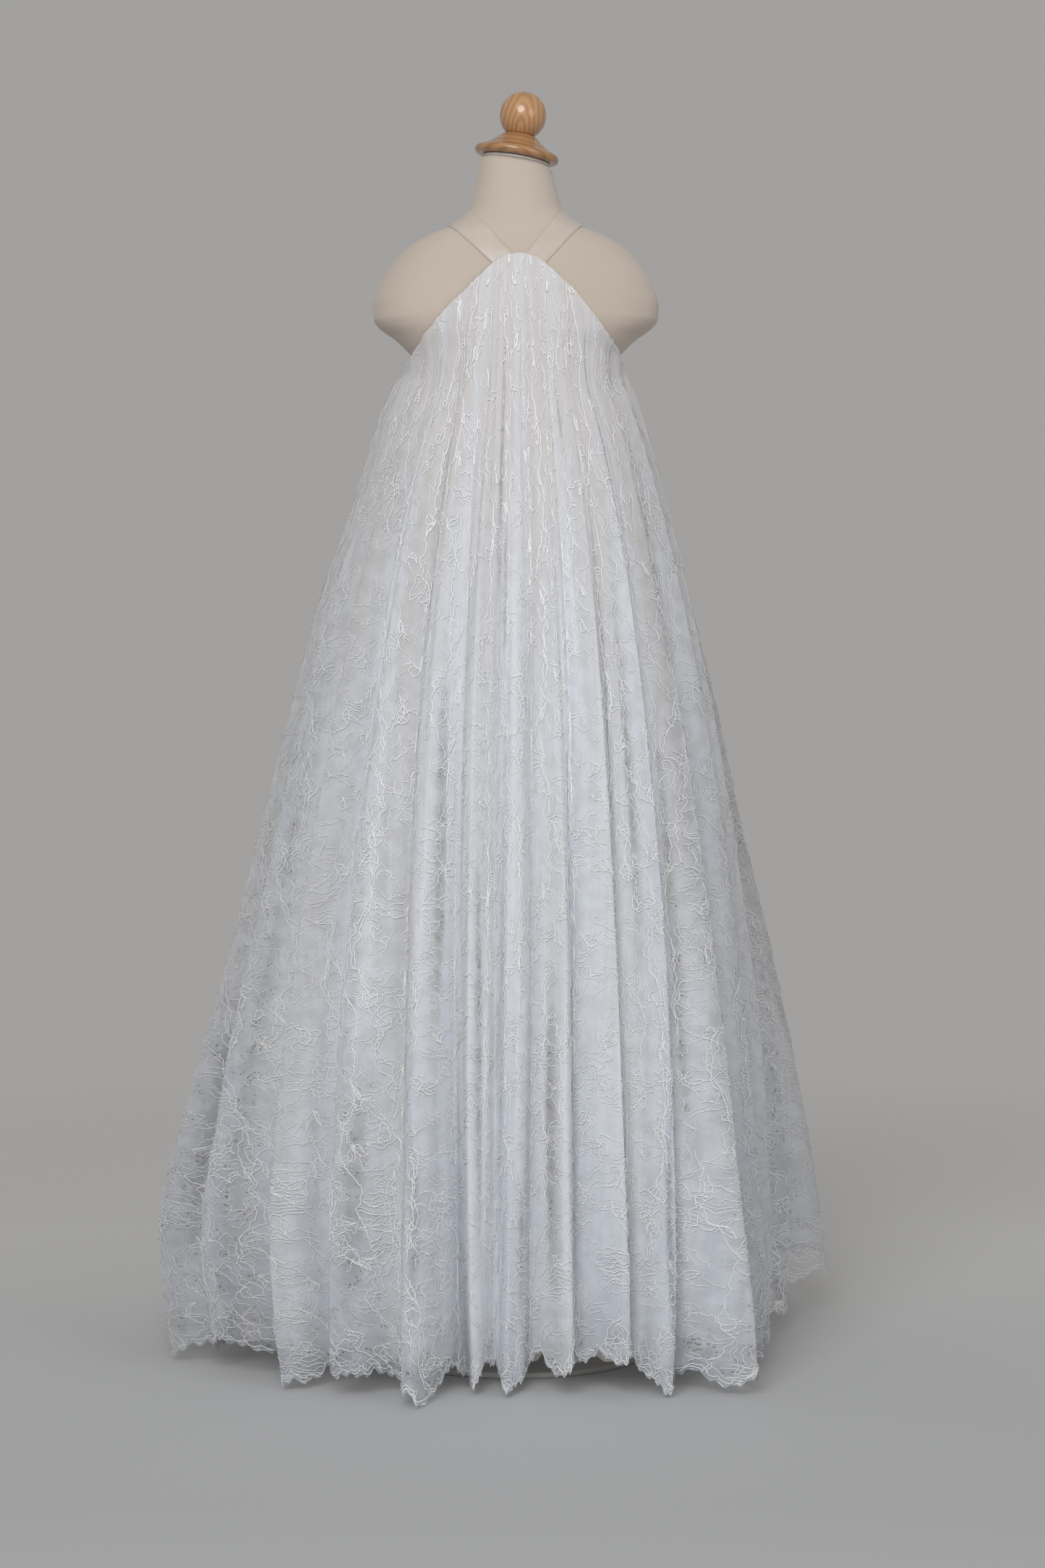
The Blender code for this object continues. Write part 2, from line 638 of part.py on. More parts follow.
def make_dress(collection):
    """Dress: lace and lining, each a front and a back, and the two halter straps."""
    lace = make_material("lace", (0.82, 0.83, 0.86), 0.8)
    lining = make_material("ivory_lining", (0.80, 0.75, 0.71), 0.6)
    satin = make_material("ivory_satin", (0.57, 0.50, 0.43), 0.32)
    lace_samples = GATHERS_IN_FOLD * SAMPLES_IN_GATHER
    cloths = (
        ("lace", lace_point, lace_samples, LACE_THICKNESS, lace),
        ("lining", lining_point, LINING_SAMPLES_IN_FOLD, LINING_THICKNESS, lining),
    )
    sides = (("front", 0, FRONT_FOLDS, FRONT_ROWS), ("back", FRONT_FOLDS, ALL_FOLDS, BACK_ROWS))
    for cloth, point, samples, thickness, material in cloths:
        for side, first, last, rows in sides:
            outer, inner = panel_faces(point, first, last, samples, rows, thickness)
            cloth_wall(f"{cloth}_{side}", outer, inner, collection, material)
    nape = math.radians(NAPE_ANGLE)
    half_gap = SEAM_GAP / 2 / form_radius(nape, STRAP_LEFT_ROWS[0][-1])
    left = strap_points(STRAP_LEFT_ROWS, math.pi, nape + half_gap)
    right = strap_points(STRAP_RIGHT_ROWS, 2 * math.pi, 2 * math.pi + nape - half_gap)
    strap_strip("strap_left", left, STRAP_THICKNESS, collection, satin)
    strap_strip("strap_right", right, STRAP_THICKNESS, collection, satin)


def main():
    clear_scene()
    collection = make_collection("flower_girl_dress_on_form")
    make_form(collection)
    make_dress(collection)


main()
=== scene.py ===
"""Looks of a flower girl dress of corded lace, with satin halter straps, on its dress form.

Metres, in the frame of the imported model: +Z up, the floor at z = 0, the front towards -Y, left is -X.
Directions round the body are angles from +X, so the left side is 180, the front 270 and the right
side 360. The tables and formulas of the form, the folds and the straps are those of the part's own
source, and everything finer is worked out on top of them. A place on the cloth is named by its
fold, counted from the left side seam round the front, and by its height.
"""

import math

import bpy
import numpy as np
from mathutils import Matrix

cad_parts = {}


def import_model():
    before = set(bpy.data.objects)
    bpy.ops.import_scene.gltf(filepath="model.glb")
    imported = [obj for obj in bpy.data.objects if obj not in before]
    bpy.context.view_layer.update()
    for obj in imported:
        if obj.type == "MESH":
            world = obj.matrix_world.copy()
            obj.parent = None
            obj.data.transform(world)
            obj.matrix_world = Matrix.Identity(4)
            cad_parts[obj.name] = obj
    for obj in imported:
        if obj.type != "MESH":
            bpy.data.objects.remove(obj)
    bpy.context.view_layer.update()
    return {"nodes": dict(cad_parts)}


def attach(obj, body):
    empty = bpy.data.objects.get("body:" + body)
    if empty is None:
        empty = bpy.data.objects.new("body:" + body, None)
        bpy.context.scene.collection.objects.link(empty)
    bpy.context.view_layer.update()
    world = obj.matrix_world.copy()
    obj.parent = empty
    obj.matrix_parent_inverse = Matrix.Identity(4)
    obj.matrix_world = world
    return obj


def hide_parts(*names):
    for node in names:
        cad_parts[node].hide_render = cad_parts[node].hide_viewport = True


def columns(names, rows):
    """A table's columns as arrays by name."""
    return dict(zip(names.split(), np.array(rows, float).T))


def by_height(*rows):
    """Heights and the values there, as the points of a curve."""
    return np.array(rows, float).T


# Cloth against the form, as in the part
LINING_OUT = 0.0019
LACE_OUT = 0.0043
FACE_GAP = 0.0003

# Neck, cap and knob, as in the part
NECK_TOP_Z = 1.2185
NECK_TILT = math.radians(9)
NECK_TILT_START_Z = 1.185
PLATE_RADIUS = 0.0345
PLATE_THICKNESS = 0.003
CAP_RADIUS = 0.0432
CAP_HEIGHT = 0.0245
CAP_NECK_RADIUS = 0.0165
CAP_LIP = 0.0088
CAP_FLARE_POWER = 1.25
KNOB_RADIUS = 0.0238
KNOB_HEIGHT = 0.0485
KNOB_SEAT_RADIUS = 0.014

# Form: its horizontal section at each height is a rounded oval
FORM_SQUARENESS = 2.25
FORM = columns("z half_width front back", (
    (0.655, 0.086, 0.066, 0.074),
    (0.670, 0.101, 0.080, 0.090),
    (0.720, 0.111, 0.089, 0.101),
    (0.780, 0.109, 0.092, 0.095),
    (0.860, 0.101, 0.091, 0.080),
    (0.940, 0.101, 0.089, 0.076),
    (0.990, 0.102, 0.086, 0.076),
    (1.019, 0.105, 0.083, 0.076),
    (1.030, 0.114, 0.081, 0.076),
    (1.040, 0.125, 0.080, 0.076),
    (1.049, 0.138, 0.078, 0.075),
    (1.058, 0.145, 0.077, 0.075),
    (1.072, 0.146, 0.074, 0.074),
    (1.090, 0.141, 0.070, 0.071),
    (1.110, 0.130, 0.064, 0.066),
    (1.130, 0.112, 0.057, 0.060),
    (1.144, 0.089, 0.051, 0.055),
    (1.152, 0.068, 0.048, 0.052),
    (1.160, 0.056, 0.0465, 0.049),
    (1.169, 0.048, 0.045, 0.047),
    (1.187, 0.0427, 0.042, 0.0425),
    (1.207, 0.0386, 0.0388, 0.0388),
    (1.2155, 0.0368, 0.037, 0.037),
    (1.2185, 0.033, 0.033, 0.033),
))

# Outer reach of the lace skirt at each height, over the ridges of its folds
REACH_ANGLES = (0, 35, 90, 135, 180, 225, 270, 315)
REACH = columns("z right rear_right rear rear_left left front_left front front_right", (
    (0.000, 0.266, 0.384, 0.290, 0.330, 0.352, 0.300, 0.225, 0.295),
    (0.060, 0.268, 0.384, 0.290, 0.330, 0.358, 0.305, 0.225, 0.295),
    (0.127, 0.268, 0.376, 0.287, 0.325, 0.364, 0.304, 0.222, 0.290),
    (0.260, 0.262, 0.350, 0.270, 0.305, 0.336, 0.290, 0.212, 0.272),
    (0.420, 0.244, 0.308, 0.245, 0.275, 0.293, 0.262, 0.198, 0.246),
    (0.600, 0.216, 0.252, 0.210, 0.235, 0.246, 0.225, 0.176, 0.212),
    (0.770, 0.180, 0.196, 0.168, 0.190, 0.202, 0.183, 0.147, 0.175),
    (0.880, 0.152, 0.158, 0.134, 0.156, 0.164, 0.150, 0.121, 0.146),
    (0.955, 0.131, 0.128, 0.106, 0.126, 0.141, 0.121, 0.102, 0.120),
    (0.990, 0.118, 0.110, 0.090, 0.108, 0.126, 0.104, 0.091, 0.103),
    (1.012, 0.104, 0.096, 0.078, 0.094, 0.104, 0.090, 0.082, 0.090),
    (1.120, 0.060, 0.050, 0.040, 0.050, 0.060, 0.055, 0.050, 0.055),
))

# Main folds, as in the part, with how far each ridge leans along the hem, to the right where it is
# above zero, and how much steeper one of its sides is. The last rows' angles go on past 360.
FRONT_FOLD_ROWS = (
    (188, 0.004, 0.046, 0.014, 0.006, 0.23),
    (203, -0.018, 0.045, 0.026, -0.010, -0.17),
    (218, -0.020, 0.058, 0.012, 0.012, 0.28),
    (233, -0.012, 0.044, 0.022, -0.006, -0.10),
    (247, 0.034, 0.072, 0.006, 0.016, 0.15),
    (258, -0.022, 0.040, 0.018, 0.008, 0.30),
    (269, -0.006, 0.048, 0.012, -0.006, -0.23),
    (281, -0.004, 0.044, 0.026, 0.010, 0.12),
    (293, -0.010, 0.042, 0.036, 0.016, 0.33),
    (305, -0.022, 0.050, 0.014, -0.008, -0.15),
    (316, 0.026, 0.064, 0.010, 0.010, 0.25),
    (331, -0.012, 0.046, 0.024, 0.014, 0.17),
    (348, -0.004, 0.042, 0.022, -0.004, -0.20),
)
BACK_FOLD_ROWS = (
    (369, -0.006, 0.040, 0.026, 0.006, 0.30),
    (391, 0.012, 0.070, 0.052, -0.012, -0.50),
    (411, -0.010, 0.052, 0.030, 0.010, 0.40),
    (428, 0.004, 0.046, 0.018, 0.014, 0.20),
    (446, 0.000, 0.050, 0.015, -0.006, -0.35),
    (463, -0.006, 0.044, 0.018, 0.010, 0.50),
    (480, 0.006, 0.050, 0.014, -0.012, -0.45),
    (497, -0.008, 0.046, 0.020, 0.008, 0.30),
    (513, 0.004, 0.050, 0.016, 0.012, 0.45),
    (528, -0.004, 0.044, 0.018, -0.006, -0.25),
)
FOLDS = columns("hem_angle flare depth lift lean skew", FRONT_FOLD_ROWS + BACK_FOLD_ROWS)
FRONT_FOLDS = len(FRONT_FOLD_ROWS)
ALL_FOLDS = len(FRONT_FOLD_ROWS + BACK_FOLD_ROWS)
PANELS = {"front": (0, FRONT_FOLDS), "back": (FRONT_FOLDS, ALL_FOLDS)}
LEFT_SEAM_ANGLE = 180
RIGHT_SEAM_ANGLE = 360
FOLD_GROWTH = 1.15
FLARE_GROWTH = 4
LEAN_GROWTH = 2.2
RIDGE_ROUNDNESS = 0.92

# Gathers that ride on the folds, three to each, and their depth at each height, as in the part
GATHERS_IN_FOLD = 3
GATHER_DEPTH = by_height(
    (0.00, 0.0030), (0.30, 0.0050), (0.70, 0.0060), (0.90, 0.0050), (1.00, 0.0030),
    (1.12, 0.0022),
)

# Finer gathers: waves in a fold, depth at the top edge and at the hem, and how much their line wanders
FINE_ROWS = (
    (1.7, 0.0003, 0.0034, 0.55),
    (4.6, 0.0001, 0.0008, 0.45),
    (7.9, 0.0000, 0.0002, 0.55),
)
SEAM_CALM = 0.35
RELIEF_ROOM = 0.6
GATHER_SHARE = (0.26, 0.24)

# Bunched cloth: waves of its density in a fold, their weights, as powers of two, and their drift. Last
# comes how far a crease opens the cloth.
BUNCH_ROWS = (
    (0.43, 0.25, 0.5),
    (0.91, 0.35, 0.8),
    (1.73, 0.45, 1.1),
    (3.10, 0.40, 1.4),
)
CREASE_OPENNESS = 0.66

# Broad columns of tone: weight, waves in a fold, how far and how often they bend, and their start
TONE_ROWS = (
    (0.50, 0.62, 1.1, 3, 0, 0.8),
    (0.35, 1.37, 1.7, 4, 1, 2.6),
    (0.20, 2.90, 2.3, 7, 0, 0.4),
)
# Tone at the chest and its rise low down: the darker warm tone on the chest is painted shade
LEAST_TONE = 0.16
LOW_TONE = 0.56
BROAD_TONE = 0.30
TONE_BLEND = 0.45

# Cover of the lace: above the chest's height it is nearly even, and it thins at the hem and sides.
# The lining's cover at each height comes last.
CHEST_Z = 0.92
CHEST_BLEND = 0.30
EVEN_SHARE = 0.15
UNEVEN_SHARE = 0.55
THIN_HEM = 0.40
HEM_ZONE = 0.085
SIDE_THINNING = 0.16
SIDE_TOP_Z = 1.00
SIDE_BLEND = 0.12
WINDOW_DEPTH = 0.0060
LINING_COVER = by_height(
    (0.00, 0.45), (0.12, 0.64), (0.30, 0.84), (0.70, 0.93), (1.12, 0.95),
)
SHADING_RELIEF = 0.14

# Listed creases: fold, height of their middle, half length, depth and half width in folds
CREASE_ROWS = (
    (6.20, 0.780, 0.075, 0.0050, 0.060),
    (4.72, 0.520, 0.190, 0.0080, 0.090),
    (8.88, 0.700, 0.200, 0.0070, 0.070),
    (5.62, 0.330, 0.240, 0.0085, 0.080),
    (7.30, 0.240, 0.170, 0.0070, 0.090),
    (10.20, 0.450, 0.260, 0.0080, 0.080),
    (11.70, 0.330, 0.210, 0.0070, 0.100),
    (2.28, 0.380, 0.260, 0.0090, 0.090),
    (3.66, 0.200, 0.150, 0.0080, 0.100),
    (1.35, 0.560, 0.180, 0.0065, 0.080),
    (0.74, 0.240, 0.150, 0.0075, 0.100),
    (12.62, 0.600, 0.200, 0.0060, 0.090),
    (9.60, 0.160, 0.120, 0.0080, 0.100),
    (8.25, 0.955, 0.045, 0.0080, 0.055),
    (9.62, 0.930, 0.120, 0.0080, 0.065),
    (5.98, 0.905, 0.145, 0.0080, 0.050),
    (4.10, 0.860, 0.120, 0.0055, 0.070),
    (10.55, 0.800, 0.150, 0.0062, 0.080),
    (5.15, 0.600, 0.200, 0.0050, 0.060),
    (7.85, 0.520, 0.170, 0.0045, 0.050),
    (9.25, 0.600, 0.200, 0.0055, 0.080),
    (3.10, 0.620, 0.170, 0.0048, 0.070),
    (6.75, 0.130, 0.090, 0.0060, 0.080),
    (4.50, 0.160, 0.110, 0.0065, 0.090),
    (14.30, 0.480, 0.240, 0.0090, 0.090),
    (16.70, 0.360, 0.220, 0.0080, 0.080),
    (18.35, 0.560, 0.200, 0.0070, 0.090),
    (20.62, 0.300, 0.200, 0.0085, 0.090),
    (22.30, 0.500, 0.220, 0.0075, 0.080),
)

# Top edge of the front, from the left underarm over the peak to the right one, as in the part
TOP_EDGE = columns("x z", (
    (-0.1040, 1.009),
    (-0.0940, 1.029),
    (-0.0820, 1.045),
    (-0.0590, 1.071),
    (-0.0400, 1.090),
    (-0.0224, 1.108),
    (-0.0100, 1.1165),
    (0.0045, 1.1190),
    (0.0180, 1.1160),
    (0.0290, 1.108),
    (0.0546, 1.083),
    (0.0770, 1.056),
    (0.0900, 1.037),
    (0.1040, 1.009),
))
BACK_TOP_Z = 1.003
BACK_TOP_BLEND = 30
SKIRT_TOP_Z = 1.12
TOP_ROLL = 0.0042
TOP_ROLL_OUT = 0.0026

# Lining, as in the part, with the swing of its hem and its ripple
LINING_BELOW_TOP = 0.014
LINING_HEM_Z = 0.034
LINING_CLEAR = 0.010
LINING_FOLD_DEPTH = 0.018
LEAVE_SOFTNESS = 0.005
LINING_HEM_SWING = 0.005
LINING_RIPPLE = 0.0012

# Straps: the outer and the inner edge of each, as in the part, and how they stand out and meet
STRAP_NAMES = "end_x end_z shoulder_x shoulder_z nape_z"
STRAP_LEFT_ROWS = (
    (-0.0190, 1.1035, -0.0680, 1.1520, 1.138),
    (0.0034, 1.1120, -0.0480, 1.1690, 1.163),
)
STRAP_RIGHT_ROWS = (
    (0.0260, 1.1035, 0.0680, 1.1520, 1.138),
    (0.0056, 1.1120, 0.0480, 1.1690, 1.163),
)
STRAP_EDGE_OUT = 0.0006
STRAP_SWELL = 0.0011
NAPE_HALF_GAP = 0.0003 / 0.05

# Flat cloth: the lace's width in one fold at the top and at the hem, the lining's width and area, a
# strap's width and length, and the scallops of the lace's hem
CLOTH_TOP_WIDTH = 0.080
CLOTH_HEM_WIDTH = 0.117
STRAP_CLOTH = (0.025, 0.212)
SCALLOP_WIDTH = 0.044
SCALLOP_DEPTH = 0.0100
PICOT_WIDTH = 0.0093
PICOT_DEPTH = 0.0022
HEM_WANDER = 0.0046
HEM_TROUGH_LIFT = 0.010
HEM_DROP = 0.004
HEM_LOWEST = 0.002

# Net and threads of the lace
NET_PITCH = 0.0020
NET_SHARPNESS = 7
NET_BETWEEN = 0.44
NET_THREAD = 0.30
DENSE_SHARE = 0.14
HOLES_BELOW = 1.5
CORD_WIDTH = 0.00080
VEIN_WIDTH = 0.00052
THREAD_STEP = 0.0024
WOBBLES = ((0.00065, 800), (0.0009, 330))
CORD_OUT = 0.0008

# How far the motifs are pushed about, the layers that keep crossing cords apart, and the share of
# the cords that is seen at each height
WARP = 0.0030
CORD_LAYER = 0.00004
CORD_LAYERS = 17
NEAR_HEM = 0.02
SEAM_MARGIN = 0.02
EDGE_MARGIN = 0.001
SEEN_SHARE = by_height(
    (0.00, 0.95), (0.30, 0.85), (0.60, 0.68), (0.90, 0.44), (1.12, 0.24),
)

# Steps and rows of the pieces' grids
LACE_STEPS_IN_FOLD = 44
LACE_ROWS = 150
LINING_STEPS_IN_FOLD = 14
LINING_ROWS = 90
STRAP_STEPS = 61
STRAP_ACROSS = 23
TORSO_STEPS = 144
TORSO_ROWS = 170
TURNED_STEPS = 96
FLOOR_STEPS = 96
FLOOR_ROWS = 25
NUDGE = 1e-4

# Camera: where the photo was taken from, and its focal length in pixels of a frame this high
CAMERA_PLACE = (0.007, -3.2, 0.70)
CAMERA_PITCH = math.radians(2.07)
FOCAL_PIXELS = 4310
FRAME_HEIGHT_PIXELS = 2168


def cubic(start, end, start_slope, end_slope, step, share):
    """Cubic from start to end over a step, with these slopes at its ends."""
    square, cube = share**2, share**3
    value = start * (2 * cube - 3 * square + 1) + end * (3 * square - 2 * cube)
    return value + step * (start_slope * (cube - 2 * square + share) + end_slope * (cube - square))


def curve(xs, ys, x):
    """Cubic through a table's points that never overshoots them, level past its ends."""
    x = np.clip(x, xs[0], xs[-1])
    step = np.diff(xs)
    slope = np.diff(ys) / step
    product = slope[:-1] * slope[1:]
    total = np.where(product > 0, slope[:-1] + slope[1:], 1)
    inner = np.where(product > 0, 2 * product / total, 0)
    slopes = np.concatenate([slope[:1], inner, slope[-1:]])
    i = np.clip(np.searchsorted(xs, x, side="right") - 1, 0, len(step) - 1)
    return cubic(ys[i], ys[i + 1], slopes[i], slopes[i + 1], step[i], (x - xs[i]) / step[i])


def ease(share):
    """Smooth step from 0 to 1."""
    share = np.clip(share, 0, 1)
    return share * share * (3 - 2 * share)


def larger(a, b, softness):
    """The larger of two radii, with a soft change from one to the other."""
    return (a + b + np.sqrt((a - b) ** 2 + softness**2)) / 2


def as_points(angle, radius, z):
    return np.stack([radius * np.cos(angle), radius * np.sin(angle), z], axis=-1)


def form_radius(angle, z):
    """Distance of the form's surface from its axis in a direction."""
    depth = np.where(
        np.sin(angle) < 0,
        curve(FORM["z"], FORM["front"], z),
        curve(FORM["z"], FORM["back"], z),
    )
    across = np.abs(np.cos(angle) / curve(FORM["z"], FORM["half_width"], z))
    along = np.abs(np.sin(angle) / depth)
    return (across**FORM_SQUARENESS + along**FORM_SQUARENESS) ** (-1 / FORM_SQUARENESS)


def on_form(angle, z, out):
    """Points this far out from the form's surface, along its normal."""

    def place(a, h):
        return as_points(a, form_radius(a, h), h)

    return place(angle, z) + out[..., None] * normals(place, angle, z)


def form_angle(x, z):
    """Direction, from 180 to 360 degrees, of the point of the form's front at x and z."""
    half_width = curve(FORM["z"], FORM["half_width"], z)
    depth = curve(FORM["z"], FORM["front"], z)
    share = np.clip(1 - np.abs(x / half_width) ** FORM_SQUARENESS, 0, 1)
    y = -depth * share ** (1 / FORM_SQUARENESS)
    return np.degrees(np.arctan2(y, x)) % 360


def reach(angle, z):
    """Outer reach of the skirt's ridges in a direction, round a closed curve of eight."""
    sides = np.stack([curve(REACH["z"], REACH[name], z) for name in list(REACH)[1:]])
    degrees = np.degrees(angle) % 360
    angles = np.array(REACH_ANGLES, float)
    here = np.searchsorted(angles, degrees, side="right") - 1

    def side(k):
        turns, index = np.divmod(k, len(angles))
        return angles[index] + 360 * turns, np.take_along_axis(sides, index[None], 0)[0]

    (a0, r0), (a1, r1), (a2, r2), (a3, r3) = (side(here + k) for k in (-1, 0, 1, 2))
    slope_1 = (r2 - r0) / (a2 - a0)
    slope_2 = (r3 - r1) / (a3 - a1)
    return cubic(r1, r2, slope_1, slope_2, a2 - a1, (degrees - a1) / (a2 - a1))


def fallen(z):
    """Share of the way down from the skirt's top to the floor."""
    return np.clip(1 - z / SKIRT_TOP_Z, 0, 1)


def fold_table(name, at_seams=None):
    """A column of the fold table as a curve along the folds, with means at the seams if none are given."""
    values = FOLDS[name]
    if at_seams is None:
        left = (values[0] + values[-1]) / 2
        at_seams = left, (values[FRONT_FOLDS - 1] + values[FRONT_FOLDS]) / 2, left
    seams = [0, FRONT_FOLDS, ALL_FOLDS]
    return np.insert(np.arange(ALL_FOLDS) + 0.5, seams, seams), np.insert(values, seams, at_seams)


HEM_ANGLE = fold_table("hem_angle", (LEFT_SEAM_ANGLE, RIGHT_SEAM_ANGLE, LEFT_SEAM_ANGLE + 360))
FLARE, DEPTH, LIFT = (fold_table(name) for name in ("flare", "depth", "lift"))
LEAN, SKEW = (fold_table(name, (0, 0, 0)) for name in ("lean", "skew"))


def top_angle(fold):
    """Direction of a fold at the top edge, where the gathers are even."""
    in_front = LEFT_SEAM_ANGLE + 180 * fold / FRONT_FOLDS
    behind = RIGHT_SEAM_ANGLE + 180 * (fold - FRONT_FOLDS) / (ALL_FOLDS - FRONT_FOLDS)
    return np.where(fold < FRONT_FOLDS, in_front, behind)


def fold_angle(fold, z):
    """Direction of a fold at a height, in radians."""
    top = top_angle(fold)
    return np.radians(top + (curve(*HEM_ANGLE, fold) - top) * ease(fallen(z)))


def top_z(fold):
    """Height of the lace's top edge."""
    angle = top_angle(fold)
    edge_angles = form_angle(TOP_EDGE["x"], TOP_EDGE["z"])
    edge_angles[0], edge_angles[-1] = LEFT_SEAM_ANGLE, RIGHT_SEAM_ANGLE
    front = curve(edge_angles, TOP_EDGE["z"], angle)
    from_seam = np.minimum(np.abs(angle - RIGHT_SEAM_ANGLE), np.abs(angle - LEFT_SEAM_ANGLE - 360))
    side_z = TOP_EDGE["z"][0]
    back = side_z + (BACK_TOP_Z - side_z) * ease(from_seam / BACK_TOP_BLEND)
    return np.where(fold <= FRONT_FOLDS, front, back)


def body_radius(angle, z):
    """The form's radius, or none below it."""
    return np.where(z > FORM["z"][0], form_radius(angle, z), 0)


def trough_radius(fold, angle, z, out, inside):
    """Distance from the axis of the bottom of the lace's folds, less a distance inside it."""
    down = fallen(z)
    outer = reach(angle, z) + curve(*FLARE, fold) * down**FLARE_GROWTH
    trough = outer - curve(*DEPTH, fold) * down**FOLD_GROWTH - inside
    return larger(body_radius(angle, z) + out, trough, LEAVE_SOFTNESS)


def from_seams(fold):
    """0 at the side seams, rising to 1 a little way from them."""
    seams = np.array([0, FRONT_FOLDS, ALL_FOLDS], float)
    distance = np.min(np.abs(np.asarray(fold)[..., None] - seams), axis=-1)
    return ease(distance / SEAM_CALM)


def fine_gathers(fold, z):
    """Height of the fine gathers, whose lines wander as they run down."""
    down = fallen(z)
    total = 0
    for k, (waves, top, hem, wander) in enumerate(FINE_ROWS):
        drift = np.sin(2.3 * fold + 5.1 * z + k) + 0.6 * np.sin(5.9 * fold - 8.3 * z + 2 * k)
        phase = 2 * math.pi * (waves * fold) + 2.2 * wander * drift + 1.7 * k
        total = total + (top + (hem - top) * down) * np.sin(phase)
    return total * from_seams(fold)


def creases(fold, z):
    """Depth of the listed creases."""
    total = 0
    for place, middle, half_length, depth, half_width in CREASE_ROWS:
        along = np.clip(1 - ((z - middle) / half_length) ** 2, 0, 1)
        total = total + depth * along * np.exp(-(((fold - place) / half_width) ** 2))
    return total


def bunching(fold, z):
    """How much more cloth than even lies at a place: above 1 in dense columns, below 1 in windows."""
    total = 0
    for k, (waves, weight, drift) in enumerate(BUNCH_ROWS):
        wander = drift * np.sin(2.1 * z + 1.3 * fold + 2 * k)
        total = total + weight * np.sin(2 * math.pi * waves * fold + wander + 2.4 * k)
    return 2**total


def density(fold, z):
    """How much the cloth covers: bunched in columns low down, even on the chest, thin at the hem."""
    low = ease((CHEST_Z - z) / CHEST_BLEND)
    columns_of_cloth = bunching(fold, z) ** (EVEN_SHARE + (UNEVEN_SHARE - EVEN_SHARE) * low)
    thin = THIN_HEM + (1 - THIN_HEM) * ease((z - curve(*LIFT, fold)) / HEM_ZONE)
    windows = 1 - CREASE_OPENNESS * np.minimum(creases(fold, z) / WINDOW_DEPTH, 1)
    return columns_of_cloth * thin * windows * (1 - SIDE_THINNING * at_sides(fold, z))


def at_sides(fold, z):
    """1 at the skirt's left and right, where its cloth is spread thin, and 0 in front and behind."""
    return np.abs(np.cos(fold_angle(fold, z))) ** 3 * ease((SIDE_TOP_Z - z) / SIDE_BLEND)


def tone_columns_and_painted_shade(fold, z):
    """Share of cool white, in broad uneven columns: darker and warm on the chest as painted shade, cool low
    down.
    """
    low = 0.6 * ease((CHEST_Z + 0.1 - z) / TONE_BLEND) + 0.4 * ease((0.55 - z) / TONE_BLEND)
    broad = 0
    for weight, waves, bend, by_z, by_fold, start in TONE_ROWS:
        phase = 2 * math.pi * waves * fold + bend * np.sin(by_z * z + by_fold * fold) + start
        broad = broad + weight * np.sin(phase)
    return np.clip(LEAST_TONE + LOW_TONE * low + BROAD_TONE * broad * (0.5 + 0.5 * low), 0, 1)


def lace_surface(fold, z, relief=1.0):
    """Point of the lace at a fold and a height, with this share of the folds' relief."""
    down = fallen(z)
    angle = fold_angle(fold, z)
    phase = 2 * math.pi * (fold - 0.5)
    wave = np.clip((1 + np.cos(phase + curve(*SKEW, fold) * np.sin(phase))) / 2, 0, 1)
    wave = relief * wave**RIDGE_ROUNDNESS + (1 - relief) / 2
    uneven = 1 + 0.6 * np.sin(2.2 * fold + 3 * z) + 0.3 * np.sin(7.1 * fold - 5 * z)
    uneven = uneven * (GATHER_SHARE[0] + (GATHER_SHARE[1] - GATHER_SHARE[0]) * down)
    gather = uneven * (1 + np.cos(GATHERS_IN_FOLD * phase + 0.8 * np.sin(3.7 * fold + 4 * z))) / 2
    radius = trough_radius(fold, angle, z, LACE_OUT, 0)
    radius = radius + curve(*DEPTH, fold) * down**FOLD_GROWTH * wave
    radius = radius + relief * curve(*GATHER_DEPTH, z) * gather
    room = RELIEF_ROOM * (LACE_OUT - LINING_OUT) + RELIEF_ROOM * LINING_CLEAR * down
    radius = radius + relief * np.maximum(fine_gathers(fold, z) - creases(fold, z), -room)
    roll = np.clip((top_z(fold) - z) / TOP_ROLL, 0, 1)
    inner = body_radius(angle, z) + TOP_ROLL_OUT
    rolled = inner + (radius - inner) * np.sqrt(roll * (2 - roll))
    radius = np.where(roll < 1, rolled, radius)
    angle = angle + curve(*LEAN, fold) * down**LEAN_GROWTH * wave / radius
    return as_points(angle, radius, z)


def lining_surface(fold, z):
    """Point of the lining, which follows the bottoms of the lace's folds from inside."""
    angle = fold_angle(fold, z)
    down = fallen(z)
    clear = LACE_OUT - LINING_OUT + LINING_CLEAR * down
    radius = trough_radius(fold, angle, z, LINING_OUT, clear)
    room = np.maximum(radius - body_radius(angle, z) - LINING_OUT, 0)
    wave = (1 + np.cos(math.pi * fold)) / 2
    small = np.sin(2 * math.pi * 2.4 * fold + 3 * np.sin(6 * z + fold)) * from_seams(fold)
    radius = radius - np.minimum(LINING_FOLD_DEPTH * down, room / 2) * wave
    return as_points(angle, radius - LINING_RIPPLE * down * small, z)


def normals(surface, fold, z):
    """Outward normals of a surface that two coordinates run over, the second one upwards."""
    round_it = surface(fold + NUDGE, z) - surface(fold - NUDGE, z)
    up_it = surface(fold, z + NUDGE) - surface(fold, z - NUDGE)
    normal = np.cross(round_it, up_it)
    return normal / np.maximum(np.linalg.norm(normal, axis=-1, keepdims=True), 1e-12)


def shading_normals(fold, z):
    """Normals of the lace with most of its relief smoothed out, as light scatters among its layers."""
    return normals(lambda f, h: lace_surface(f, h, SHADING_RELIEF), fold, z)


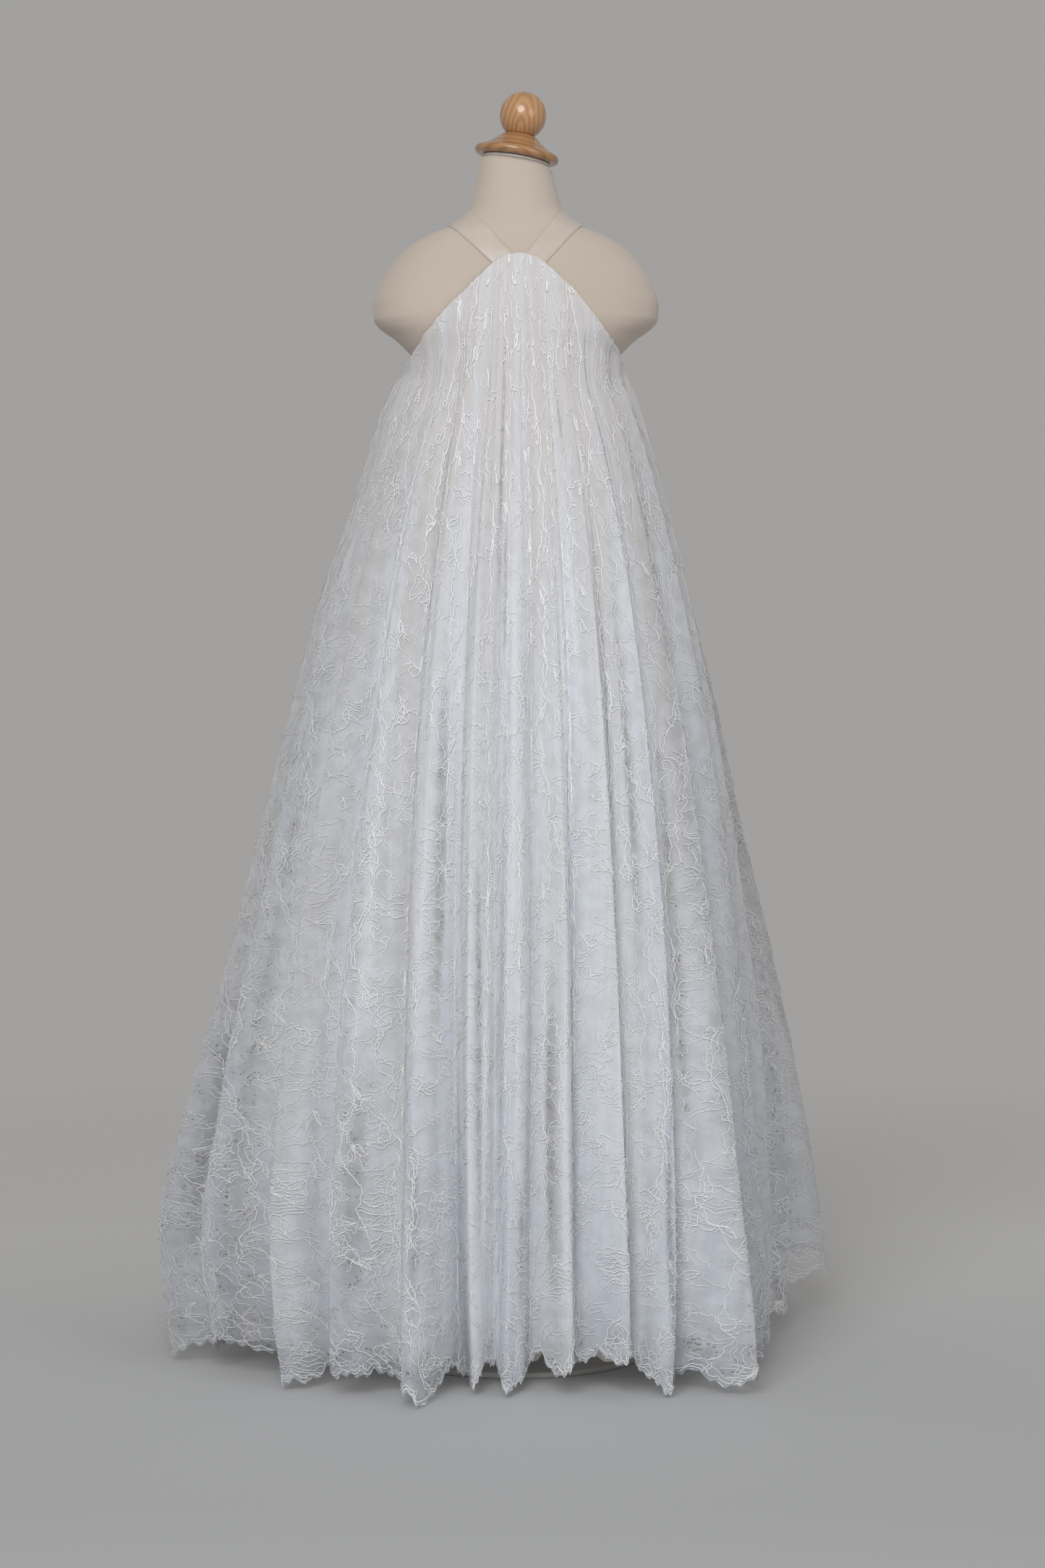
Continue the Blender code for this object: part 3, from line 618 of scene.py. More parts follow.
def hem_z(fold):
    """Height of the lace's uneven, scalloped hem, which rises in the troughs of the folds."""
    along = fold * CLOTH_HEM_WIDTH + 0.006 * np.sin(3.1 * fold)
    scallop = SCALLOP_DEPTH * (1 - np.abs(np.sin(math.pi * along / SCALLOP_WIDTH)) ** 0.6)
    picot = PICOT_DEPTH * np.sin(2 * math.pi * along / PICOT_WIDTH)
    wander = HEM_WANDER * (np.sin(9.1 * fold) + 0.8 * np.sin(4.3 * fold + 1) + 0.5 * np.sin(23 * fold))
    trough = HEM_TROUGH_LIFT * (1 + np.cos(2 * math.pi * fold)) / 2
    return np.maximum(curve(*LIFT, fold) + scallop + picot + wander + trough - HEM_DROP, HEM_LOWEST)


def cloth_width(z):
    """Width of flat lace in one fold at a height."""
    return CLOTH_TOP_WIDTH + (CLOTH_HEM_WIDTH - CLOTH_TOP_WIDTH) * fallen(z)


def to_cloth(flat, middle):
    """Fold and height of points of the flat lace, which is measured from the panel's top middle."""
    z = SKIRT_TOP_Z - flat[:, 1]
    return middle + flat[:, 0] / cloth_width(z), z


def to_flat(fold, z, middle=0.0):
    """Place on the flat lace of a fold and a height."""
    return path((fold - middle) * cloth_width(z), SKIRT_TOP_Z - z)


# Lace chart: lines on the flat lace, as lists of points in metres


def path(x, y):
    """Points with these coordinates."""
    return np.stack(np.broadcast_arrays(x, y), axis=-1)


def placed(points, at, turn):
    """Points turned and moved."""
    c, s = math.cos(turn), math.sin(turn)
    return points @ np.array([[c, s], [-s, c]]) + np.asarray(at)


def shares(length, step, least):
    """Shares of a length from 0 to 1, about a step apart and no fewer than the least."""
    return np.linspace(0, 1, max(least, int(length / step)))


def petal(length, width):
    """Closed outline of a petal along +x from its foot, with a small notch at its tip."""
    t = np.linspace(0, 2 * math.pi, 12)
    x = length * (1 - np.cos(t)) / 2
    y = width / 2 * np.sin(t) * (0.25 + 0.75 * x / length) * 1.35
    return path(x - 0.14 * length * np.exp(-(((t - math.pi) / 0.5) ** 2)), y)


def leaf(length, width):
    """Closed outline of a leaf along +x."""
    t = np.linspace(0, 1, 7)
    half = width / 2 * np.sin(math.pi * t**0.8)
    return np.concatenate([path(length * t, half), path(length * t, -half)[-2::-1]])


def arc(radius, half_turn, steps):
    turn = np.linspace(-half_turn, half_turn, steps + 1)
    return path(radius * np.cos(turn), radius * np.sin(turn))


def ripple(x, y, phase):
    """Smooth uneven field over the flat lace, about -1 to 1."""
    long_waves = np.sin(150 * y + 2.1 * np.sin(95 * x + phase) + phase)
    short_waves = np.sin(330 * y - 140 * x + 1.6 * np.sin(210 * x - phase) + 2 * phase)
    return 0.6 * long_waves + 0.4 * short_waves


def warped(points):
    """Points of the flat lace pushed about, so that no two motifs are alike."""
    x, y = points[:, 0], points[:, 1]
    return points + WARP * path(ripple(x, y, 0.7), ripple(y, x, 2.9))


class Chart:
    """Threads of the flat lace, each as its points and its width."""

    def __init__(self, seed):
        self.random = np.random.default_rng(seed)
        self.threads = []

    def thread(self, points, at=(0, 0), turn=0.0, width=CORD_WIDTH, wobble=1.0):
        """A thread along points that are turned and moved, in even steps and with a wobble."""
        points = placed(points, at, turn)
        lengths = np.linalg.norm(np.diff(points, axis=0), axis=-1)
        run = np.concatenate([[0], np.cumsum(lengths)])
        steps = np.linspace(0, run[-1], max(2, round(run[-1] / THREAD_STEP)) + 1)
        even = path(*(np.interp(steps, run, points[:, k]) for k in (0, 1)))
        phases = self.random.uniform(0, 2 * math.pi, (2, 2))
        shift = 0
        for (size, waves), pace, phase in zip(WOBBLES, self.random.uniform(0.85, 1.15, 2), phases):
            shift = shift + size * np.sin(waves * pace * steps[:, None] + phase)
        if np.allclose(points[0], points[-1]):
            shift[-1] = shift[0]
        self.threads.append((warped(even + wobble * shift), width))

    def flower(self, at, size, turn, petals):
        """Open flower, as the outlines of its petals."""
        for k in range(petals):
            way = turn + 2 * math.pi * k / petals
            foot = np.asarray(at) + 0.10 * size * np.array([math.cos(way), math.sin(way)])
            self.thread(petal(0.42 * size, 2.0 * size / petals), foot, way, VEIN_WIDTH)

    def leaf(self, at, length, turn, bars=0):
        """Leaf with bars, or with a vein where it has none."""
        width = 0.42 * length
        self.thread(leaf(length, width), at, turn)
        for share in np.linspace(0.2, 0.8, bars):
            half = 0.46 * width * math.sin(math.pi * share**0.8)
            bar = np.array([[share * length, -half], [share * length + 0.001, half]])
            self.thread(bar, at, turn, VEIN_WIDTH)
        if not bars:
            vein = np.array([[0, 0], [0.3, 0.02], [0.6, -0.02], [0.9, 0]]) * length
            self.thread(vein, at, turn, VEIN_WIDTH)

    def fan(self, at, size, turn):
        """Fan: two arcs joined by bars."""
        radii = np.array([0.26, 0.5]) * size
        for radius, steps in zip(radii, (7, 12)):
            self.thread(arc(radius, 1.9, steps), at, turn)
        for way in np.linspace(-1.75, 1.75, 9):
            self.thread(path(radii * math.cos(way), radii * math.sin(way)), at, turn, VEIN_WIDTH)

    def scroll(self, at, size, turn):
        """Scroll that curls in on itself."""
        t = np.linspace(0, 1, 15)
        way = 3.6 * math.pi * t / 2
        radius = size * (0.5 - 0.38 * t)
        self.thread(path(radius * np.cos(way) - 0.5 * size, radius * np.sin(way)), at, turn)

    def stem(self, start, end, bend):
        """Stem that bows to one side."""
        t = shares(np.linalg.norm(end - start), 0.005, 4)
        across = np.array([start[1] - end[1], end[0] - start[0]])
        line = start + (end - start) * t[:, None]
        self.thread(line + across * (bend * np.sin(math.pi * t))[:, None])

    def ribs(self, at, width, count, turn):
        """Close parallel wavy lines, as in a shaded ground."""
        wave = self.random.uniform(0, 2 * math.pi)
        t = np.linspace(-0.5, 0.5, max(5, int(width / 0.003)))
        for k in range(count):
            length = width * self.random.uniform(0.5, 1.0)
            middle = 0.1 * width * self.random.uniform(-1, 1)
            height = RIB_PITCH * (k - count / 2) + 0.0011 * np.sin(500 * t * length + wave)
            cord = VEIN_WIDTH if k % 3 else CORD_WIDTH
            self.thread(path(middle + t * length, height), at, turn, cord, 0.4)

    def ladder(self, at, height, turn):
        """Two strands joined by many short bars."""
        half = LADDER_WIDTH / 2
        t = shares(height, 0.006, 4)
        for side in (-half, half):
            self.thread(path(side + 0.003 * np.sin(5 * t), t * height), at, turn)
        for share in np.arange(LADDER_PITCH / height, 1, LADDER_PITCH / height):
            middle = 0.003 * math.sin(5 * share)
            bar = np.array([[middle - half, share * height], [middle + half, share * height + 0.0006]])
            self.thread(bar, at, turn, VEIN_WIDTH, 0.3)

    def vine(self, at, height, sway, phase):
        """Meandering double cord that runs down the lace."""
        t = shares(height, 0.008, 8)
        middle = sway * (np.sin(9 * t + phase) + 0.5 * np.sin(21 * t + 2 * phase))
        gap = 0.0022 + 0.0012 * np.sin(30 * t + phase)
        for side in (-1, 1):
            self.thread(path(middle + side * gap, t * height), at)

    def wisp(self, at, length, way, count):
        """Feathery cords: a few wandering lines side by side, each with a slightly other bow."""
        t = shares(length, 0.003, 5)
        bend, turns = self.random.uniform(-0.22, 0.22), self.random.uniform(0.8, 1.8)
        for k in range(count):
            share = self.random.uniform(0.55, 1.0)
            slide = self.random.uniform(-0.25, 0.25) * length
            wave = 0.0011 * np.sin(2 * math.pi * t * length / 0.0095 + self.random.uniform(0, 6))
            bow = length * bend * np.sin(math.pi * turns * t) * self.random.uniform(0.6, 1.3)
            line = path(slide + share * length * t, bow + wave + WISP_STEP * k)
            self.thread(line, at, way + self.random.normal(0, 0.12), VEIN_WIDTH, 0.5)

    def spray(self, at, size, turn, petals):
        """Flower with leafy stems, a fan and a scroll."""
        at = np.asarray(at, float)
        self.flower(at, size, turn, petals)
        for k in range(4):
            way = turn + 0.6 + k * math.pi / 2 + self.random.uniform(-0.25, 0.25)
            along = np.array([math.cos(way), math.sin(way)])
            start, end = at + 0.5 * size * along, at + (1.0 + 0.25 * (k % 2)) * size * along
            self.stem(start, end, 0.25 * (-1) ** k)
            if k == 1:
                self.fan(end, 0.62 * size, way)
            elif k == 3:
                self.scroll(end, 0.6 * size, way)
                self.leaf(end, 0.5 * size, way - 1.3)
            else:
                self.leaf(end, 0.62 * size, way + 0.5, 5 if k == 2 else 0)
                self.leaf(end, 0.55 * size, way - 0.6)


# One repeat of the lace: sprays by place, size, turn in degrees and petals, then shaded patches by
# place, width, number of ribs and turn, ladders by place, height and turn, and vines by place, height,
# sway and phase
REPEAT_WIDTH = 0.30
REPEAT_HEIGHT = 0.34
SPRAY_ROWS = (
    (0.045, 0.040, 0.040, 10, 6),
    (0.155, 0.020, 0.030, 100, 5),
    (0.245, 0.065, 0.038, 200, 6),
    (0.100, 0.105, 0.034, 320, 5),
    (0.190, 0.135, 0.042, 60, 6),
    (0.020, 0.140, 0.030, 150, 5),
    (0.275, 0.175, 0.034, 20, 5),
    (0.100, 0.195, 0.040, 250, 6),
    (0.205, 0.225, 0.032, 300, 5),
    (0.030, 0.240, 0.036, 80, 6),
    (0.270, 0.275, 0.038, 130, 6),
    (0.130, 0.290, 0.034, 30, 5),
    (0.060, 0.320, 0.030, 200, 5),
)
RIB_ROWS = (
    (0.150, 0.070, 0.040, 9, 8),
    (0.060, 0.170, 0.034, 7, -12),
    (0.240, 0.120, 0.030, 8, 16),
    (0.160, 0.255, 0.038, 10, -6),
    (0.005, 0.085, 0.030, 7, 5),
    (0.215, 0.315, 0.036, 9, -10),
)
RIB_PITCH = 0.0033
LADDER_WIDTH = 0.0055
LADDER_PITCH = 0.0036
LADDER_ROWS = (
    (0.115, 0.060, 0.055, 8),
    (0.255, 0.225, 0.060, -10),
    (0.045, 0.275, 0.045, 20),
)
VINE_ROWS = (
    (0.010, 0.00, 0.34, 0.012, 0.0),
    (0.075, 0.03, 0.30, 0.009, 1.7),
    (0.130, 0.00, 0.34, 0.013, 3.1),
    (0.225, 0.02, 0.32, 0.010, 4.6),
    (0.285, 0.05, 0.26, 0.008, 5.9),
)
SPRAY_SCALE = 0.78

# Ribs low down, cords along the hem, and wisps, more of which lie level low down
HEM_RIB_TOP = 0.80
HEM_RIB_CLEAR = 0.04
HEM_RIB_STEP = 0.036
HEM_CORDS = (0.0022, 0.0060)
HEM_CORD_INSET = 0.03
WISP_PITCH = 0.0205
WISP_STEP = 0.0043
LEVEL_SHARE = 0.75
LEVEL_FROM = 0.45
LEVEL_BLEND = 0.45


def wisp_chart(first, last, seed):
    """Feathery cords all over a panel: mostly upright, and mostly level low down."""
    chart = Chart(seed)
    random = chart.random
    half_width = (last - first) / 2 * CLOTH_HEM_WIDTH
    for x in np.arange(-half_width, half_width, WISP_PITCH):
        for y in np.arange(0, SKIRT_TOP_Z, WISP_PITCH):
            at = np.array([x, y]) + random.uniform(-0.5, 0.5, 2) * WISP_PITCH
            level = random.uniform() < LEVEL_SHARE * ease((y - LEVEL_FROM) / LEVEL_BLEND)
            way = random.normal(0, 0.45) if level else math.pi / 2 + random.normal(0, 0.7)
            length = random.uniform(0.014, 0.032) if level else random.uniform(0.020, 0.050)
            chart.wisp(at, length, way, 1 + random.integers(0, 4))
    return chart


def lace_chart(first, last, seed):
    """Chart that covers a panel: repeats with a half drop in every other column."""
    chart = Chart(seed)
    half_width = (last - first) / 2 * CLOTH_HEM_WIDTH
    reach_columns = math.ceil(half_width / REPEAT_WIDTH)
    for column in range(-reach_columns, reach_columns):
        drop = REPEAT_HEIGHT / 2 if column % 2 else 0
        for row in range(-1, math.ceil(SKIRT_TOP_Z / REPEAT_HEIGHT) + 1):
            corner = np.array([column * REPEAT_WIDTH, row * REPEAT_HEIGHT - drop])
            for x, y, size, turn, petals in SPRAY_ROWS:
                chart.spray(corner + (x, y), size * SPRAY_SCALE, math.radians(turn), petals)
            for x, y, width, count, turn in RIB_ROWS:
                chart.ribs(corner + (x, y), width, count, math.radians(turn))
            for x, y, height, turn in LADDER_ROWS:
                chart.ladder(corner + (x, y), height, math.radians(turn))
            for x, y, height, sway, phase in VINE_ROWS:
                chart.vine(corner + (x, y), height, sway, phase)
    for x in np.arange(-half_width, half_width, HEM_RIB_STEP):
        y = chart.random.uniform(HEM_RIB_TOP, SKIRT_TOP_Z - HEM_RIB_CLEAR)
        width, count = chart.random.uniform(0.024, 0.044), chart.random.integers(5, 11)
        chart.ribs(np.array([x, y]), width, count, chart.random.uniform(-0.3, 0.3))
    steps = (last - first) * LACE_STEPS_IN_FOLD
    fold = np.linspace(first + HEM_CORD_INSET, last - HEM_CORD_INSET, steps)
    for above in HEM_CORDS:
        z = hem_z(fold) + above
        chart.thread(to_flat(fold, z, (first + last) / 2), wobble=0.3)
    return chart


# Meshes


def new_object(name, data):
    """Object of a mesh, a light or a camera, in the scene."""
    obj = bpy.data.objects.new(name, data)
    bpy.context.scene.collection.objects.link(obj)
    return obj


def new_piece(name, points, faces, material):
    """Smooth object of these points and faces."""
    mesh = bpy.data.meshes.new(name)
    mesh.from_pydata(points.reshape(-1, 3), [], faces)
    mesh.update()
    mesh.shade_smooth()
    mesh.materials.append(material)
    return new_object(name, mesh)


def grid_faces(rows, count, closed=False):
    """Corners of the quads of a grid, which may close on itself across its columns."""
    r = np.arange(rows - 1)[:, None] * count
    c = np.arange(count if closed else count - 1)[None]
    after = (c + 1) % count
    return np.stack([r + c, r + after, r + count + after, r + count + c], axis=-1).reshape(-1, 4)


def add_uv(obj, flat):
    """Flat cloth coordinates, in metres, as the object's UV map."""
    layer = obj.data.uv_layers.new(name="cloth")
    corners = np.empty(len(obj.data.loops), np.int32)
    obj.data.loops.foreach_get("vertex_index", corners)
    layer.data.foreach_set("uv", flat.reshape(-1, 2)[corners].astype(np.float32).ravel())


def add_value(obj, name, values):
    attribute = obj.data.attributes.new(name, "FLOAT", "POINT")
    attribute.data.foreach_set("value", values.astype(np.float32).ravel())


def make_cloth(name, side, steps_in_fold, shares_down, edges, surface, material):
    """Sheet of cloth on a panel, from its top edge to its hem, with its points' folds and heights."""
    first, last = PANELS[side]
    folds = np.linspace(first, last, (last - first) * steps_in_fold + 1)
    fold, share = np.meshgrid(folds, shares_down)
    top, hem = edges(fold)
    z = top + (hem - top) * share
    obj = new_piece(f"{side}_{name}", surface(fold, z), grid_faces(*fold.shape)[:, ::-1], material)
    return obj, fold, z


def lace_edges(fold):
    return top_z(fold), hem_z(fold)


def lining_edges(fold):
    """The lining's top, below the lace's, and its uneven hem."""
    swing = np.sin(5.3 * fold) + 0.6 * np.sin(11.9 * fold + 1) - 1.6
    return top_z(fold) - LINING_BELOW_TOP, LINING_HEM_Z + LINING_HEM_SWING * swing


def make_lace(side, material):
    """Net ground of a lace panel, as a single sheet."""
    rolled = np.array([0, 0.05, 0.2, 0.45, 0.75]) * TOP_ROLL
    down = np.concatenate([rolled, np.linspace(TOP_ROLL, 1, LACE_ROWS)])
    obj, fold, z = make_cloth("lace", side, LACE_STEPS_IN_FOLD, down, lace_edges, lace_surface, material)
    add_uv(obj, to_flat(fold, z, sum(PANELS[side]) / 2))
    obj.data.normals_split_custom_set_from_vertices(shading_normals(fold, z).reshape(-1, 3))
    across = lace_surface(fold + NUDGE, z, relief=0) - lace_surface(fold - NUDGE, z, relief=0)
    gathered = cloth_width(z) * 2 * NUDGE / np.maximum(np.linalg.norm(across, axis=-1), 1e-9)
    add_value(obj, "gathered", np.clip(gathered * density(fold, z), 0.35, 8))
    add_value(obj, "tone", tone_columns_and_painted_shade(fold, z))
    return obj


def make_lining(side, material):
    down = np.linspace(0, 1, LINING_ROWS)
    obj, fold, z = make_cloth(
        "lining", side, LINING_STEPS_IN_FOLD, down, lining_edges, lining_surface, material
    )
    add_uv(obj, to_flat(fold, z))
    add_value(obj, "cover", curve(*LINING_COVER, z) * (1 - SIDE_THINNING * at_sides(fold, z)))
    return obj


def inside_panel(fold, z, first, last):
    """Which places lie on the panel's lace, a little inside its edges."""
    across = (fold > first + SEAM_MARGIN) & (fold < last - SEAM_MARGIN)
    return across & (z < top_z(fold) - EDGE_MARGIN) & (z > hem_z(fold) + EDGE_MARGIN)


def make_threads(name, side, lines, material):
    """Threads as narrow ribbons just outside the net, fewer of them where its gathers hide most."""
    first, last = PANELS[side]
    counts = np.array([len(points) for points, _ in lines])
    flat = np.concatenate([points for points, _ in lines])
    width = np.repeat([w for _, w in lines], counts)
    line = np.repeat(np.arange(len(lines)), counts)
    fold, z = to_cloth(flat, (first + last) / 2)
    chance = np.random.default_rng(first + len(lines)).uniform(size=len(lines))[line]
    near_hem = z < hem_z(np.clip(fold, first, last)) + NEAR_HEM
    seen = chance < curve(*SEEN_SHARE, z)
    keep = inside_panel(fold, z, first, last) & (near_hem | seen)
    fold, z = np.clip(fold, first, last), np.clip(z, 0, SKIRT_TOP_Z)
    normal = normals(lace_surface, fold, z)
    out = CORD_OUT + CORD_LAYER * (line % CORD_LAYERS + (0.5 if name == "wisps" else 0))
    points = lace_surface(fold, z) + normal * out[:, None]
    same = line[1:] == line[:-1]
    step = (points[1:] - points[:-1])[same]
    along = np.zeros_like(points)
    along[:-1][same] += step
    along[1:][same] += step
    side_way = np.cross(normal, along)
    side_way /= np.maximum(np.linalg.norm(side_way, axis=-1, keepdims=True), 1e-12)
    half = side_way * width[:, None] / 2
    edges = np.stack([points - half, points + half], axis=1).reshape(-1, 3)
    start = np.nonzero(same & keep[1:] & keep[:-1])[0] * 2
    faces = np.stack([start, start + 2, start + 3, start + 1], axis=-1)
    used, faces = np.unique(faces, return_inverse=True)
    obj = new_piece(f"{side}_{name}", edges[used], faces.reshape(-1, 4), material)
    obj.data.normals_split_custom_set_from_vertices(shading_normals(fold, z)[used // 2])
    return obj


# Materials

BLACK, WHITE = (0, 0, 0), (1, 1, 1)


class Shader:
    """A material with a Principled surface, and short calls that add nodes to it."""

    def __init__(self, name, colour, roughness, **sockets):
        self.material = bpy.data.materials.new(name)
        self.material.use_nodes = True
        self.tree = self.material.node_tree
        self.surface = self.tree.nodes["Principled BSDF"].inputs
        self.set(Base_Color=(*colour, 1), Roughness=roughness, **sockets)

    def set(self, **sockets):
        """Sets or links sockets of the surface, whose names have _ for a space."""
        for name, value in sockets.items():
            self.put(self.surface[name.replace("_", " ")], value)

    def put(self, socket, value):
        if isinstance(value, bpy.types.NodeSocket):
            self.tree.links.new(value, socket)
        else:
            socket.default_value = value

    def node(self, kind, output, inputs=(), **settings):
        """An output of a new node with these settings, and these values or links at its inputs."""
        made = self.tree.nodes.new(f"ShaderNode{kind}")
        for name, value in settings.items():
            setattr(made, name, value)
        for name, value in dict(inputs).items():
            self.put(made.inputs[name], value)
        return made.outputs[output]

    def math(self, operation, a, b=0.0, clamp=False):
        return self.node("Math", 0, {0: a, 1: b}, operation=operation, use_clamp=clamp)

    def weighted(self, *parts):
        """Sum of fields, each times its weight."""
        total, *rest = (self.math("MULTIPLY", field, weight) for field, weight in parts)
        for part in rest:
            total = self.math("ADD", total, part)
        return total

    def noise(self, vector, scale, detail=3.0):
        """Noise of a scale, or drawn out by a scale of its own on each axis."""
        if isinstance(scale, tuple):
            vector, scale = self.scaled(vector, scale), 1.0
        return self.node("TexNoise", "Fac", {"Vector": vector, "Scale": scale, "Detail": detail})

    def ramp(self, factor, stops):
        """Colour by factor, from stops of place and colour."""
        made = self.node("ValToRGB", "Color", {"Fac": factor})
        elements = made.node.color_ramp.elements
        for element, (place, colour) in zip((elements[0], elements[-1]), (stops[0], stops[-1])):
            element.position, element.color = place, (*colour, 1)
        for place, colour in stops[1:-1]:
            elements.new(place).color = (*colour, 1)
        return made

    def scaled(self, vector, scale):
        return self.node("Mapping", "Vector", {"Vector": vector, "Scale": scale})

    def cloth(self):
        return self.node("UVMap", "UV", uv_map="cloth")

    def place(self):
        return self.node("TexCoord", "Object")

    def attribute(self, name):
        return self.node("Attribute", "Fac", attribute_name=name)

    def bump(self, height, strength, distance):
        relief = {"Height": height, "Strength": strength, "Distance": distance}
        self.set(Normal=self.node("Bump", "Normal", relief))

    def finished(self, tone, dark, light, relief, strength, distance):
        """The material, between two tones and with relief."""
        self.set(Base_Color=self.ramp(tone, ((0.3, dark), (0.7, light))))
        self.bump(relief, strength, distance)
        return self.material

    def net(self, pitch, sharpness):
        """Threads of a diagonal net: 1 on a thread, falling to 0 between them."""
        x = self.node("SeparateXYZ", "X", {"Vector": self.cloth()})
        lines = []
        for operation in ("ADD", "SUBTRACT"):
            turn = self.math("MULTIPLY", self.math(operation, x, x.node.outputs["Y"]), math.pi / pitch)
            wave = self.math("ABSOLUTE", self.math("COSINE", turn))
            lines.append(self.math("POWER", wave, sharpness))
        return self.math("MAXIMUM", *lines)


def lace_material():
    """Fine net with dense figures and small holes, denser where it is bunched."""
    shader = Shader("lace", (0.82, 0.83, 0.86), 0.8, Sheen_Weight=0.60, Sheen_Roughness=0.5)
    math_node, cloth = shader.math, shader.cloth()
    net = math_node("MULTIPLY", shader.net(NET_PITCH, NET_SHARPNESS), NET_THREAD)
    figures = shader.ramp(shader.noise(cloth, 60), ((0.42, BLACK), (0.60, WHITE)))
    holes = shader.node("TexVoronoi", "Distance", {"Vector": cloth, "Scale": 330.0})
    hole_places = shader.ramp(shader.noise(cloth, 75, 2.0), ((0.52, BLACK), (0.60, WHITE)))
    open_holes = math_node("MULTIPLY", shader.ramp(holes, ((0.30, WHITE), (0.42, BLACK))), hole_places)
    gathered = shader.attribute("gathered")
    sheer = math_node("MULTIPLY", math_node("SUBTRACT", HOLES_BELOW, gathered), 1.4, clamp=True)
    open_share = math_node("MULTIPLY", math_node("MULTIPLY", open_holes, sheer), 0.8)
    dense = math_node("MULTIPLY", figures, DENSE_SHARE)
    cover = math_node("ADD", math_node("ADD", net, NET_BETWEEN), dense, clamp=True)
    cover = math_node("MULTIPLY", cover, math_node("SUBTRACT", 1.0, open_share))
    seen_through = math_node("POWER", math_node("SUBTRACT", 1.0, cover), gathered)
    shader.set(Alpha=math_node("SUBTRACT", 1.0, seen_through))
    streaks = shader.noise(cloth, (190, 7, 1))
    fine = math_node("MULTIPLY", math_node("SUBTRACT", streaks, 0.5), 0.35)
    tone = math_node("ADD", shader.attribute("tone"), fine, clamp=True)
    # The warm stop, darker than the others and seen only on the chest, is painted shade
    warm, plain = (0.615, 0.575, 0.565), (0.65, 0.66, 0.69)
    cool, blue = (0.745, 0.775, 0.83), (0.575, 0.625, 0.71)
    shader.set(Base_Color=shader.ramp(tone, ((0.0, warm), (0.3, plain), (0.55, cool), (1.0, blue))))
    shader.bump(shader.weighted((streaks, 0.3), (figures, 0.3)), 0.10, 0.0010)
    return shader.material


def cord_material():
    """White cords with a slight gloss, uneven along their length."""
    shader = Shader("lace_cords", (0.93, 0.94, 0.95), 0.5, Sheen_Weight=0.2)
    twist = shader.noise(shader.place(), 900, 2.0)
    return shader.finished(twist, (0.80, 0.81, 0.835), (0.93, 0.935, 0.94), twist, 0.5, 0.0003)


def lining_material():
    """Soft ivory lining with a fine upright weave."""
    shader = Shader("ivory_lining", (0.85, 0.81, 0.77), 0.6, Sheen_Weight=0.3)
    weave = shader.noise(shader.cloth(), (1500, 300, 1), 2.0)
    tone = shader.weighted((weave, 0.4), (shader.noise(shader.place(), 14, 2.0), 0.6))
    shader.set(Alpha=shader.attribute("cover"))
    return shader.finished(tone, (0.83, 0.785, 0.735), (0.90, 0.87, 0.835), weave, 0.25, 0.0003)


def satin_material():
    """Ivory satin ribbon: fine ribs along it and a soft gloss."""
    shader = Shader("ivory_satin", (0.57, 0.495, 0.43), 0.32, Sheen_Weight=0.2)
    weave = shader.noise(shader.cloth(), (2600, 120, 1), 2.0)
    tone = shader.weighted((weave, 0.4), (shader.noise(shader.place(), 30, 2.0), 0.6))
    return shader.finished(tone, (0.515, 0.44, 0.378), (0.59, 0.522, 0.458), weave, 0.3, 0.0003)


def cover_material():
    """Cream jersey cover of the form: fine knit and faint handling marks."""
    shader = Shader("form_cover", (0.565, 0.485, 0.415), 0.85, Sheen_Weight=0.2, Sheen_Roughness=0.6)
    knit = shader.noise(shader.place(), 1400, 1.0)
    tone = shader.weighted((knit, 0.3), (shader.noise(shader.place(), 9, 4.0), 0.7))
    return shader.finished(tone, (0.512, 0.436, 0.370), (0.570, 0.494, 0.428), knit, 0.3, 0.0004)


def plate_material():
    shader = Shader("plate_paint", (0.66, 0.65, 0.62), 0.5)
    marks = shader.noise(shader.place(), 120, 4.0)
    return shader.finished(marks, (0.56, 0.55, 0.52), (0.70, 0.69, 0.66), marks, 0.15, 0.0005)


def wood_material(name, grain_scale, light, dark):
    """Varnished wood: growth rings drawn out along the grain, pores and a clear coat."""
    shader = Shader(name, light, 0.38, Coat_Weight=0.8, Coat_Roughness=0.12)
    grain = shader.scaled(shader.place(), grain_scale)
    wave = {"Vector": grain, "Scale": 1.0, "Distortion": 2.6, "Detail": 2.0, "Detail Scale": 0.8}
    rings = shader.node("TexWave", "Fac", wave, wave_type="RINGS", rings_direction="Y")
    pores = shader.noise(shader.place(), (900, 900, 120), 2.0)
    tone = shader.weighted((rings, 0.45), (shader.noise(grain, 0.6), 0.4), (pores, 0.15))
    bright = tuple(1.12 * c for c in light)
    shader.set(Base_Color=shader.ramp(tone, ((0.25, dark), (0.55, light), (0.8, bright))))
    shader.bump(pores, 0.05, 0.0002)
    return shader.material


def painted_material(name, colour):
    shader = Shader(name, colour, 0.45)
    marks = shader.noise(shader.place(), 60, 4.0)
    return shader.finished(marks, tuple(0.88 * c for c in colour), colour, marks, 0.1, 0.0004)


def steel_material():
    shader = Shader("pole_steel", (0.60, 0.60, 0.60), 0.32, Metallic=1.0)
    brushed = shader.noise(shader.place(), (600, 600, 6), 2.0)
    return shader.finished(brushed, (0.50, 0.50, 0.51), (0.66, 0.66, 0.66), brushed, 0.1, 0.0002)


# Form, cap and knob


def tilted(points):
    """Points of the form with the top of its neck sloping down to the right."""
    share = ease((points[..., 2] - NECK_TILT_START_Z) / (NECK_TOP_Z - NECK_TILT_START_Z))
    moved = points.copy()
    moved[..., 2] -= points[..., 0] * math.tan(NECK_TILT) * share
    return moved


def capped(rows, count, faces):
    """A closed grid's faces with its two ends filled."""
    low, high = range(count), range((rows - 1) * count, rows * count)
    return [tuple(f) for f in faces] + [tuple(reversed(low)), tuple(high)]


